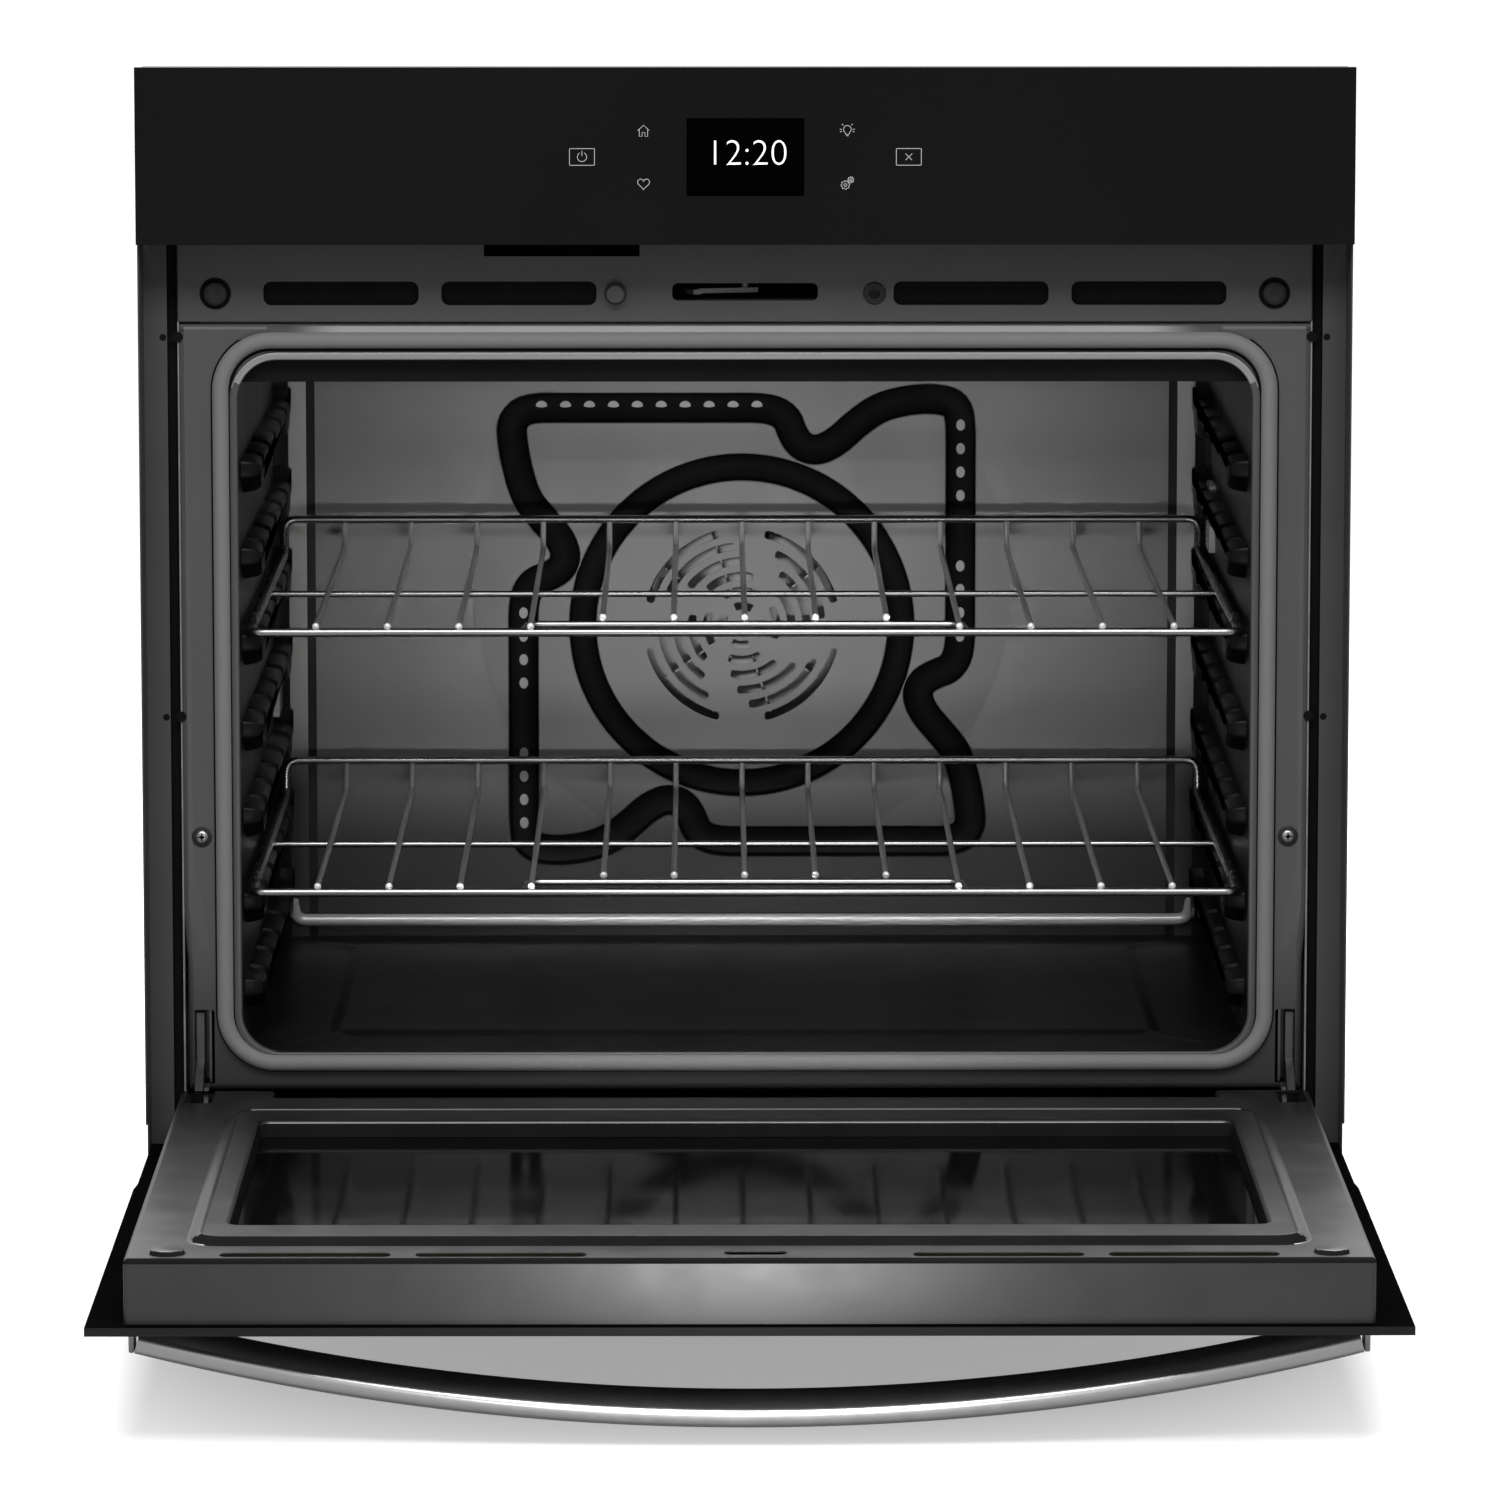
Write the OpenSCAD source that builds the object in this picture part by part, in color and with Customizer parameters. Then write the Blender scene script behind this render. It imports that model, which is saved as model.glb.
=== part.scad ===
// Built-in single wall oven with a drop-down door, drawn with the door open.
// X runs across the front, Y into the wall and Z up. Heights below are measured from the
// lowest edge of the bottom trim, and depths from the front face of the control glass.
// placed() then moves everything to the part's origin, the middle of the four cabinet screws.

/* [Front] */
// Width of the control glass and the door glass
front_w = 762; // [758:1:766]
// Height of the whole front, from the bottom trim to the top of the control glass
front_h = 733; // [731:1:736]
// Height of the control glass
panel_h = 110.7; // [106:0.1:111]
// Thickness of the control glass and of the outer door glass
glass_t = 5; // [4:0.5:5]

/* [Chassis] */
// Width of the steel chassis that slides into the cabinet
chassis_w = 717.6; // [716:0.2:719]
// Height of the underside of the chassis above the lowest edge of the trim
base_z = 12; // [10:1:13]
// Height of the top cover
top_z = 696; // [690:1:700]
// Depth of the rear face
rear_y = 625; // [622:1:640]
// Depth of the front face of the chassis frame
frame_y = 52; // [52:0.5:54]
// Depth of the cabinet face that the side rails bear on
cabinet_y = 50; // [49.5:0.5:51]
// Thickness of the chassis sheet
sheet = 1; // [0.8:0.1:1.2]
// Thickness of the front frame sheet
frame_t = 1.5; // [1.2:0.1:1.6]

/* [Cabinet screws] */
// Distance between the two columns of cabinet screws
screw_dx = 735; // [733:1:738]
// Distance between the two rows of cabinet screws
screw_dz = 242; // [200:1:260]
// Height of the middle of the four screws
screw_mid_z = 439; // [420:1:450]
// Radius of a cabinet screw hole
screw_r = 2.2; // [2:0.1:2.6]

/* [Cavity] */
// Width of the oven cavity
cavity_w = 642.4; // [641:0.2:643]
// Height of the cavity floor
floor_z = 101.6; // [101:0.1:102]
// Height of the cavity ceiling
ceiling_z = 545.4; // [545:0.1:546]
// Depth of the cavity's rear wall
cavity_y = 520; // [518:1:521]
// Thickness of the enamelled cavity sheet
wall = 1.2; // [1:0.1:1.3]
// Radius of the ring groove round the convection fan, to its middle
ring_r = 110; // [108:1:112]
// Height of the convection fan's shaft
fan_z = 318.5; // [317:0.5:320]
// Width of the pressed air channel
channel_w = 19; // [16:1:20]

/* [Racks] */
// Height of the lowest rack position, to the middle of the rack's rail
first_level_z = 147.5; // [147:0.1:148]
// Distance between two rack positions
level_pitch = 55.77; // [55.5:0.01:56]
// Number of rack positions
levels = 7; // [4:1:7]
// Diameter of the rack's rails
rail_d = 6; // [5:0.5:6]
// Diameter of the rack's thin wires
wire_d = 3.2; // [3:0.1:3.6]
// Distance between two thin wires
wire_pitch = 45.5; // [44:0.1:46]

/* [Door] */
// Depth of the hinge axis
axis_y = 25.85; // [25.5:0.05:26]
// Height of the hinge axis
axis_z = 63.85; // [63.5:0.05:64]
// Height of the door glass's lower edge when the door is closed
door_low_z = 42; // [42:0.5:44]
// Height of the door glass's upper edge when the door is closed
door_high_z = 617; // [612:0.5:618]
// Depth of the flat rear face of the door's inner panel when the door is closed
door_back_y = 43.5; // [43:0.1:43.5]
// Height of the pressed window frame above the inner panel
ridge_h = 4; // [3:0.1:4]

/* [Handle] */
// Length of the handle bar across the door
handle_len = 709; // [700:1:712]
// Radius of the bow of the handle, at its outer face
bow_r = 1451; // [1400:1:1500]
// Thickness of the handle bar
bar_t = 19.5; // [18:0.5:21]
// Height of the handle bar
bar_h = 23; // [20:0.5:25]
// Radius of the bar's corners
bar_r = 5; // [4:0.5:6]
// Width of the bar's flat upper face
bar_flat = 7; // [5:0.5:9]
// Distance of the bar's outer face from the glass at its ends
end_reach = 16.5; // [16:0.5:18]

/* [Hidden] */
$fn = 48;

half_chassis = chassis_w / 2;
half_front = front_w / 2;
half_cavity = cavity_w / 2;
panel_z = front_h - panel_h;
inner_y = frame_y + frame_t;      // rear face of the front frame
seam_z = 568.6;                   // joint between the front frame and the rail above it
seam_gap = 0.4;
rail_top_z = 628;
frame_low_z = 77;
lip_w = 5;                        // width of the cavity's front lip
lip_gap = 0.3;
slot_z = 587.6;                   // height of the vent slots in the rail
slot_h = 15;
door_slot_z = 594;                // height of the vent slots in the closed door
door_slot_h = 12;
narrow_half = half_front - 1.5;   // half width of the outer door glass near the hinges
slot_len = 98;
slot_mids = [142.8, 255.2];       // middles of the vent slots, either side of the centre
fitting_z = 587.6;                // height of bumpers, switch and socket in the rail
bumper_x = 334.5;
switch_x = 81.8;
hinge_x = 346;                    // middle of a hinge, either side
frame_screw_z = 240.8;
ear_t = 2;
arm_t = 5;
arm_x = 348.5;                    // middle of a hinge arm
rod_x = 343.2;                    // middle of a spring rod
pin_r = 4;
pin_play = 0.05;
cam_at = [10, 8];                 // rod pin on the arm, from the hinge axis in depth and height
cam_r = 2.5;
cam_play = 0.8;
door_angle = 90;                  // the door is drawn at its open stop
liner_half = 359;
liner_top_z = 609;
liner_low_z = 89;
liner_tab_z = 64;                 // the corners by the hinges reach lower than the middle
liner_tab_x = 299;
liner_t = 1.2;
window = [301, 195, 524.5];       // half width, lower and upper edge of the door window
ridge = [326, 147, 571.5];        // half width, lower and upper edge of the raised frame
rack_y = 62;                      // depth of a rack's front rail
rack_side_x = 314.5;
rack_bend_y = 498;
rack_rise = 24.3;
lower_level = 1;
upper_level = 4;
lamp_left = [485, 285];           // depth and height of each lamp
lamp_right = [447, 402];
lamp_w = 40;
lamp_h = 46;
chamber_half = 180;
chamber_d = 35;
handle_z = door_low_z + 534.7;
black = [0.04, 0.04, 0.045];
dark_grey = [0.24, 0.24, 0.24];
enamel = [0.12, 0.12, 0.125];
steel = [0.72, 0.72, 0.72];
gasket_grey = [0.48, 0.48, 0.48];

// Half of the pressed air channel's middle line, across and up from the fan's shaft.
// The other half is the same shape turned by half a turn.
half_path = [
    [-149, 151], [-120, 151], [-10, 151], [18, 151], [31, 145], [35, 133], [41, 124], [52, 121],
    [65, 127], [80, 141], [96, 152], [118, 157], [138, 157], [149, 152], [151, 137], [151, 110],
    [151, 10], [151, -18], [145, -30], [134, -34], [125, -39], [121, -48], [125, -60], [137, -74],
    [148, -87], [154, -105], [158, -126], [159, -141]
];
channel_path = concat(half_path, -half_path);

// Cuts each corner of a closed outline at a quarter of its two sides.
function rounded(p) = [for (i = [0:len(p) - 1]) let (a = p[i], b = p[(i + 1) % len(p)])
    each [0.75 * a + 0.25 * b, 0.25 * a + 0.75 * b]];
function unit(v) = v / norm(v);
function left_of(v) = [-v[1], v[0]];
// Moves each point of a closed outline sideways by d, along the mitre of its two sides.
function moved(p, d) = [for (i = [0:len(p) - 1])
    let (n = len(p), u = unit(p[i] - p[(i + n - 1) % n]), w = unit(p[(i + 1) % n] - p[i]),
         m = unit(left_of(u) + left_of(w)))
    p[i] + m * d / (m * left_of(w))];

module placed() translate([0, -cabinet_y, -screw_mid_z]) children();

// Turns what is drawn for the closed door to the open stop.
module opened()
    translate([0, axis_y, axis_z]) rotate([door_angle, 0, 0])
        translate([0, -axis_y, -axis_z]) children();

module both_sides() {
    children();
    mirror([1, 0, 0]) children();
}

// side is 1 for the right-hand part and -1 for the left-hand one.
module on_side(side) {
    if (side > 0) children();
    else mirror([1, 0, 0]) children();
}

// A block from one corner to the opposite one.
module block(a, b) translate(a) cube(b - a);

// A plate from depth y to y + t, whose outline is drawn across and up.
module upright(y, t) translate([0, y + t, 0]) rotate([90, 0, 0]) linear_extrude(t) children();

// A plate from across-position x to x + t, whose outline is drawn in depth and height.
module sideways(x, t) translate([x, 0, 0]) rotate([90, 0, 90]) linear_extrude(t) children();

// A round rod of diameter d between two points.
module rod(a, b, d) {
    v = b - a;
    translate(a) rotate([0, acos(v[2] / norm(v)), atan2(v[1], v[0])]) cylinder(h = norm(v), d = d);
}

// A rounded rectangle across and up, with radius r.
module outline(half, low, high, r) {
    difference() {
        translate([-half, low]) square([2 * half, high - low]);
        for (sx = [-1, 1], top = [0, 1])
            translate([sx * half, top == 1 ? high : low])
                difference() {
                    square(2 * r, center = true);
                    translate([-sx * r, top == 1 ? -r : r]) circle(r);
                }
    }
}

// A slot across, with round ends.
module slot_2d(mid, z, len, h) {
    translate([mid - len / 2 + h / 2, z - h / 2]) square([len - h, h]);
    for (s = [-1, 1]) translate([mid + s * (len - h) / 2, z]) circle(h / 2);
}

module vent_slots_2d(z, h)
    for (s = [-1, 1], m = slot_mids) slot_2d(s * m, z, slot_len, h);

// ---- chassis ----

module base_pan() color(steel) placed() {
    block([-half_chassis + sheet, inner_y, base_z], [half_chassis - sheet, rear_y - sheet, base_z + sheet]);
    both_sides() block([half_chassis - sheet - 12, inner_y + 20, base_z + sheet],
        [half_chassis - 2 * sheet, rear_y - 20, base_z + 15]);
}

module side_panel(side) color(steel) placed() on_side(side)
    block([half_chassis - sheet, inner_y, base_z], [half_chassis, rear_y - sheet, top_z - sheet]);

module side_panel_left() side_panel(-1);
module side_panel_right() side_panel(1);

conduit_x = 285;
conduit_z = 655;
conduit_r = 11.2;

module back_panel() color(steel) placed() difference() {
    block([-half_chassis, rear_y - sheet, base_z], [half_chassis, rear_y, top_z - sheet]);
    upright(rear_y - 2 * sheet, 3 * sheet) {
        translate([conduit_x, conduit_z]) circle(conduit_r);
        for (row = [0:5]) slot_2d(-170, 610 + 13 * row, 180, 5);
    }
}

module top_cover() color(steel) placed() difference() {
    block([-half_chassis, inner_y, top_z - sheet], [half_chassis, rear_y, top_z]);
    for (i = [0:7]) block([-260 + 16 * i, 470, top_z - 2 * sheet], [-254 + 16 * i, 570, top_z + sheet]);
}

module front_rail() color(dark_grey) placed() {
    difference() {
        block([-half_chassis, frame_y, seam_z + seam_gap], [half_chassis, inner_y, rail_top_z]);
        upright(frame_y - 1, frame_t + 2) {
            vent_slots_2d(slot_z, slot_h);
            slot_2d(0, 588.5, 92, 11);
            for (s = [-1, 1]) {
                translate([s * bumper_x, fitting_z]) circle(6);
                translate([s * switch_x, fitting_z]) circle(7.2);
            }
            translate([-164.8, 611]) square([98.3, 20]);
        }
    }
    block([-half_chassis + 2, inner_y, rail_top_z - frame_t], [-170, inner_y + 14, rail_top_z]);
    block([-60, inner_y, rail_top_z - frame_t], [half_chassis - 2, inner_y + 14, rail_top_z]);
}

module front_frame() color(dark_grey) placed() {
    difference() {
        block([-half_chassis, frame_y, frame_low_z], [half_chassis, inner_y, seam_z]);
        upright(frame_y - 1, frame_t + 2) {
            outline(half_cavity + lip_w + lip_gap, floor_z - lip_w - lip_gap,
                ceiling_z + lip_w + lip_gap, 30);
            for (s = [-1, 1]) {
                translate([s * hinge_x - 7, frame_low_z - 1]) square([14, 52]);
                translate([s * hinge_x, frame_screw_z]) circle(2.6);
                for (dz = [-1, 1])
                    translate([s * half_chassis - 3, screw_mid_z + dz * screw_dz / 2 - 3]) square([6, 6]);
            }
        }
    }
    block([-half_chassis + 24, frame_y + 0.5, frame_low_z],
        [half_chassis - 24, inner_y + 6, frame_low_z + frame_t]);
}

module side_rail(side) color(dark_grey) placed() on_side(side) difference() {
    inner = half_chassis + 3;
    union() {
        block([inner, cabinet_y - 1.2, 29], [half_front, cabinet_y, panel_z - 0.5]);
        block([half_front - 1.2, 10, 62], [half_front, cabinet_y - 1.2, panel_z - 0.5]);
        block([half_front - 1.2, 27, 29], [half_front, cabinet_y - 1.2, 62]);
        block([inner - 1.2, cabinet_y - 1.2, 34], [inner, 80, panel_z - 0.5]);
        for (z = [120, 300, 480, 600])
            translate([half_chassis, 70, z]) rotate([0, 90, 0]) cylinder(h = 2, r = 6);
    }
    for (dz = [-1, 1])
        translate([screw_dx / 2, cabinet_y - 3, screw_mid_z + dz * screw_dz / 2])
            rotate([-90, 0, 0]) cylinder(h = 5, r = screw_r);
}

module side_rail_left() side_rail(-1);
module side_rail_right() side_rail(1);

module bottom_trim() color(dark_grey) placed() {
    difference() {
        block([-half_front, 12, 0], [half_front, 13.2, 28]);
        upright(11, 4) for (i = [-5:5]) slot_2d(i * 62, 15, 50, 5);
    }
    block([-half_front, 13.2, 26.8], [half_front, cabinet_y - 0.2, 28]);
    block([-half_chassis + 2, cabinet_y - 0.2, 26.8], [half_chassis - 2, 60, 28]);
    block([-half_chassis + 2, 60, base_z + sheet], [half_chassis - 2, 61.2, 70]);
}

// ---- control panel ----

module control_glass() color(black) placed()
    block([-half_front, 0, panel_z], [half_front, glass_t, front_h]);

module control_box() color(dark_grey) placed() {
    w = half_front - 2;
    low = panel_z + 2;
    high = front_h - 2;
    difference() {
        block([-w, glass_t, low], [w, cabinet_y, high]);
        block([-w + 1.5, glass_t - 1, low + 1.5], [w - 1.5, cabinet_y - 1.5, high - 1.5]);
        block([-half_chassis + 16, 0, 629], [half_chassis - 16, cabinet_y + 1, 688]);
    }
    both_sides() block([half_chassis - 15.6, cabinet_y - 1, 640], [half_chassis - 2, inner_y, 680]);
}

module display_module() color(black) placed() {
    block([-44, glass_t, 646], [44, glass_t + 4, 708]);
    block([-52, glass_t + 4, 640], [52, glass_t + 12, 714]);
}

module touch_board() color("darkgreen") placed() difference() {
    block([-135, glass_t, 634], [135, glass_t + 1.6, 720]);
    block([-53, glass_t - 1, 639], [53, glass_t + 3, 715]);
}

module control_board() color("darkgreen") placed() {
    block([80, 90, 650], [300, 240, 651.6]);
    for (x = [95, 285], y = [100, 230]) translate([x, y, 634.2]) cylinder(h = 15.8, r = 4);
    block([100, 110, 651.6], [150, 160, 682]);
    for (i = [0:3]) block([170 + 28 * i, 110, 651.6], [190 + 28 * i, 138, 668]);
    for (i = [0:2]) translate([190 + 34 * i, 195, 651.6]) cylinder(h = 26, r = 11);
    block([70, 80, 633], [310, 250, 634.2]);
}

// ---- cooling air ----

blower_at = [-120, 480];
blower_r = 88;
duct_low_z = 577;
duct_high_z = 612;
housing_high_z = 636;

module blower_housing() color(steel) placed() difference() {
    translate([blower_at[0], blower_at[1], duct_high_z + 0.2])
        cylinder(h = housing_high_z - duct_high_z, r = blower_r);
    translate([blower_at[0], blower_at[1], duct_high_z - 1])
        cylinder(h = housing_high_z - duct_high_z, r = blower_r - 1);
    translate([blower_at[0], blower_at[1], housing_high_z - 5]) cylinder(h = 10, r = 46);
}

module blower_impeller() color(steel) placed() translate([blower_at[0], blower_at[1], 0]) {
    translate([0, 0, 583]) cylinder(h = 1.2, r = 74);
    for (i = [0:17]) rotate(20 * i) translate([50, 0, 583.6]) rotate([0, 0, 35]) cube([22, 1, 44]);
    translate([0, 0, 583.6]) cylinder(h = 14.6, r = 12);
    translate([0, 0, 598.2]) cylinder(h = 62, r = pin_r);
}

module blower_motor() color(dark_grey) placed() translate([blower_at[0], blower_at[1], 0]) {
    difference() {
        union() {
            translate([0, 0, 645]) cylinder(h = 38, r = 34);
            for (i = [0:2]) rotate(120 * i) translate([20, -6, 643]) cube([58, 12, 2]);
        }
        translate([0, 0, 640]) cylinder(h = 22, r = pin_r + pin_play);
    }
    for (i = [0:2]) rotate(120 * i) translate([72, 0, housing_high_z + 0.2])
        cylinder(h = 644 - housing_high_z - 0.2, r = 4);
}

module air_duct() color(steel) placed() difference() {
    block([-310, 125, duct_low_z], [310, 572, duct_high_z]);
    block([-309, 120, duct_low_z + 1], [309, 571, duct_high_z - 1]);
    translate([blower_at[0], blower_at[1], duct_high_z - 5]) cylinder(h = 10, r = blower_r - 3);
}

// ---- cavity ----

module cavity_flange() color(enamel) placed() upright(frame_y, 4) difference() {
    outline(half_cavity + lip_w, floor_z - lip_w, ceiling_z + lip_w, 30);
    outline(half_cavity, floor_z, ceiling_z, 25);
}

lip_back_y = frame_y + 4;

module lamp_window(at, w, h, x, depth)
    block([x, at[0] - w / 2, at[1] - h / 2], [x + depth, at[0] + w / 2, at[1] + h / 2]);

module cavity_side(side, lamp) color(enamel) placed() on_side(side) difference() {
    block([half_cavity, lip_back_y, floor_z], [half_cavity + wall, cavity_y, ceiling_z]);
    lamp_window(lamp, lamp_w, lamp_h, half_cavity - 1, 4);
}

module cavity_left() cavity_side(-1, lamp_left);
module cavity_right() cavity_side(1, lamp_right);

module cavity_ceiling() color(enamel) placed()
    block([-half_cavity - wall, lip_back_y, ceiling_z], [half_cavity + wall, cavity_y, ceiling_z + wall]);

module cavity_floor() color(enamel) placed() {
    rise = 2;
    difference() {
        block([-half_cavity - wall, lip_back_y, floor_z - wall], [half_cavity + wall, cavity_y, floor_z]);
        translate([0, 0, floor_z - 3]) linear_extrude(6) outline(270 - wall, 111 + wall, 468 - wall, 20);
    }
    translate([0, 0, floor_z]) linear_extrude(rise) difference() {
        outline(270, 111, 468, 22);
        outline(270 - wall, 111 + wall, 468 - wall, 20);
    }
    translate([0, 0, floor_z + rise - wall]) linear_extrude(wall)
        outline(270 - wall, 111 + wall, 468 - wall, 20);
}

probe_at = [128, 503];             // temperature probe, across and up
groove_d = 5;
hole_d = 7;
broil_z = 533;                      // height of the broil element
path_points = rounded(channel_path);

module groove_2d(w) {
    difference() {
        polygon(moved(path_points, w / 2));
        polygon(moved(path_points, -w / 2));
    }
    difference() {
        circle(ring_r + w / 2 - 1);
        circle(ring_r - w / 2 + 1);
    }
}

module channel_holes_2d() for (turn = [0, 180]) rotate(turn) {
    for (i = [0:9]) translate([-138 + 16.5 * i, 152]) circle(d = hole_d);
    for (i = [0, 1, 2, 3, 6, 7, 8, 9]) translate([151, 138.5 - 16.3 * i]) circle(d = hole_d);
}

// Curved slots in front of the fan, in six rings of four, each ring turned on from the last.
module fan_slots() for (ring = [0:5], quarter = [0:3])
    rotate([-90, 0, 0]) rotate(90 * quarter + 14 + 11 * ring)
        rotate_extrude(angle = 62 - 2 * ring) translate([65.6 - 10.4 * ring - 2.8, -10])
            square([5.6, 20]);

module cavity_back() color(enamel) placed() translate([0, 0, fan_z]) difference() {
    union() {
        difference() {
            block([-half_cavity - wall, cavity_y, floor_z - wall - fan_z],
                [half_cavity + wall, cavity_y + wall, ceiling_z + wall - fan_z]);
            upright(cavity_y - 1, wall + 2) groove_2d(channel_w);
        }
        difference() {
            upright(cavity_y, groove_d + wall) groove_2d(channel_w + 2 * wall);
            upright(cavity_y - 1, groove_d + 1) groove_2d(channel_w);
        }
    }
    upright(cavity_y - 1, groove_d + 4) channel_holes_2d();
    translate([0, cavity_y, 0]) fan_slots();
    for (x = [-170, -120])
        translate([x, cavity_y - 2, broil_z - fan_z]) rotate([-90, 0, 0]) cylinder(h = 5, r = 4.2);
    translate([probe_at[0], cavity_y - 2, probe_at[1] - fan_z]) rotate([-90, 0, 0]) cylinder(h = 5, r = 3.3);
}

// Ledges that carry a rack, one for each position.
ledge_w = 12;

module rack_guides(side) color(enamel) placed() on_side(side) difference() {
    for (i = [0:levels - 1])
        translate([half_cavity, 512, first_level_z + i * level_pitch - rail_d / 2 - 0.4])
            rotate([90, 0, 0]) linear_extrude(428)
                polygon([[0, 0], [-ledge_w, 0], [-ledge_w, -4], [-4, -11], [0, -11]]);
    lamp_window(side > 0 ? lamp_right : lamp_left, lamp_w + 12, lamp_h + 8, half_cavity - 20, 30);
}

module rack_guides_left() rack_guides(-1);
module rack_guides_right() rack_guides(1);

module ceiling_deflector() color(enamel) placed() {
    block([-half_cavity + 0.5, 62, 530.7], [half_cavity - 0.5, 63.2, ceiling_z]);
    block([-half_cavity + 0.5, 63.2, 530.7], [half_cavity - 0.5, 77, 531.9]);
}

module insulation() color("wheat") placed() {
    difference() {
        union() {
            block([-345, 60, ceiling_z + wall + 0.3], [345, 595, 574]);
            block([-345, 60, 80], [345, 595, floor_z - wall - 0.3]);
            both_sides() block([half_cavity + wall + 0.3, 60, floor_z - wall], [345, 595, ceiling_z + wall]);
            block([-half_cavity - wall, 563, floor_z - wall], [half_cavity + wall, 595, ceiling_z + wall]);
        }
        translate([0, 550, fan_z]) rotate([-90, 0, 0]) cylinder(h = 60, r = 70);
        lamp_window(lamp_right, 70, 70, half_cavity, 40);
        mirror([1, 0, 0]) lamp_window(lamp_left, 70, 70, half_cavity, 40);
        block([-185, 100, 79], [185, 600, floor_z - wall - 5]);
        block([-200, 520, 520], [-90, 600, 540]);
        block([probe_at[0] - 8, 520, probe_at[1] - 8], [probe_at[0] + 8, 600, probe_at[1] + 8]);
        both_sides() block([330, 59, 78], [346, 100, 140]);
    }
}

// ---- seal and heat ----

seal_half = 331.8;
seal_low_z = 95;
seal_high_z = 558.2;
seal_r = 32;

module seal_profile() intersection() {
    translate([0, 1.2]) circle(5.2);
    translate([-6, -6]) square([12, 6]);
}

// The seal stands in front of the frame all round the cavity.
module door_gasket() color(gasket_grey) placed() translate([0, frame_y, 0]) {
    mid_z = (seal_low_z + seal_high_z) / 2;
    for (s = [-1, 1]) {
        translate([s * seal_half, 0, seal_low_z + seal_r])
            linear_extrude(seal_high_z - seal_low_z - 2 * seal_r) seal_profile();
        translate([-(seal_half - seal_r), 0, mid_z + s * (seal_high_z - seal_low_z) / 2])
            rotate([0, 90, 0]) linear_extrude(2 * (seal_half - seal_r)) seal_profile();
    }
    for (s = [-1, 1], t = [-1, 1])
        translate([s * (seal_half - seal_r), 0, mid_z + t * ((seal_high_z - seal_low_z) / 2 - seal_r)])
            rotate([90, 0, 0]) rotate(s > 0 ? (t > 0 ? 0 : 270) : (t > 0 ? 90 : 180))
                rotate_extrude(angle = 90) translate([seal_r, 0]) mirror([0, 1]) seal_profile();
}

// A tube that runs to and fro in depth, joined by half rings.
module to_and_fro(legs, pitch, y0, y1, z, d) {
    for (i = [0:legs - 1]) {
        x = (i - (legs - 1) / 2) * pitch;
        rod([x, y0, z], [x, y1, z], d);
        if (i < legs - 1) {
            front = i % 2 == 0;
            translate([x + pitch / 2, front ? y0 : y1, z]) rotate(front ? 180 : 0)
                rotate_extrude(angle = 180) translate([pitch / 2, 0]) circle(d = d);
        }
    }
}

module broil_element() color(dark_grey) placed() {
    to_and_fro(6, 76, 120, 440, broil_z, 7);
    for (x = [-170, -120]) rod([x, 470, broil_z], [x, cavity_y + 20, broil_z], 7);
    rod([-190, 440, broil_z], [-170, 470.5, broil_z], 6.6);
    block([-176, 466, broil_z - 3.5], [-114, 474, broil_z + 3.5]);
    for (x = [-150, 150]) block([x - 3, 250, broil_z + 3], [x + 3, 256, ceiling_z]);
}

module bake_element() color(dark_grey) placed()
    to_and_fro(6, 62, 150, 430, floor_z - wall - 10.5, 7);

module convection_element() color(steel) placed() translate([0, cavity_y + 18, fan_z]) {
    rotate([90, 0, 0]) rotate_extrude(angle = 340) translate([92, 0]) circle(d = 7);
    for (a = [0, -20]) rod([92 * cos(a), 0, 92 * sin(a)], [92 * cos(a), 24, 92 * sin(a)], 6.6);
}

chamber_y = cavity_y + groove_d + wall + 0.5;

module fan_chamber() color(steel) placed() difference() {
    block([-chamber_half, chamber_y - 4, fan_z - chamber_half],
        [chamber_half, chamber_y + chamber_d, fan_z + chamber_half]);
    block([-chamber_half + 1, chamber_y - 8, fan_z - chamber_half + 1],
        [chamber_half - 1, chamber_y + chamber_d - 1, fan_z + chamber_half - 1]);
    translate([0, chamber_y, fan_z]) rotate([-90, 0, 0]) cylinder(h = 60, r = 7);
    for (a = [0, -20]) translate([92 * cos(a), chamber_y, fan_z + 92 * sin(a)])
        rotate([-90, 0, 0]) cylinder(h = 60, r = 4);
}

fan_blades = 10;

module convection_fan() color(steel) placed() translate([0, 0, fan_z]) {
    translate([0, 550, 0]) rotate([-90, 0, 0]) cylinder(h = 1.2, r = 66);
    for (i = [0:fan_blades - 1])
        rotate([0, i * 360 / fan_blades, 0]) block([24, 531, -0.6], [65, 550.5, 0.6]);
    translate([0, 530, 0]) rotate([-90, 0, 0]) cylinder(h = 20.5, r = 10);
    translate([0, 549, 0]) rotate([-90, 0, 0]) cylinder(h = 60, r = pin_r);
}

module convection_motor() color(dark_grey) placed() translate([0, 0, fan_z]) difference() {
    union() {
        translate([0, 572, 0]) rotate([-90, 0, 0]) cylinder(h = 45, r = 38);
        block([-60, 570, -12], [60, 572, 12]);
        both_sides() block([54, chamber_y + chamber_d, -8], [60, 570, 8]);
    }
    translate([0, 565, 0]) rotate([-90, 0, 0]) cylinder(h = 46, r = pin_r + pin_play);
}

module lamp_lenses() color([0.85, 0.85, 0.8]) placed() {
    lamp_window(lamp_right, lamp_w - 0.6, lamp_h - 0.6, half_cavity - 4, 8);
    mirror([1, 0, 0]) lamp_window(lamp_left, lamp_w - 0.6, lamp_h - 0.6, half_cavity - 4, 8);
}

module lamp_socket(at) {
    difference() {
        lamp_window(at, lamp_w + 14, lamp_h + 8, half_cavity + wall, 26);
        lamp_window(at, lamp_w, lamp_h, half_cavity, 22);
    }
    translate([half_cavity + 22, at[0], at[1]]) rotate([0, -90, 0]) cylinder(h = 9, r = 5);
}

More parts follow.
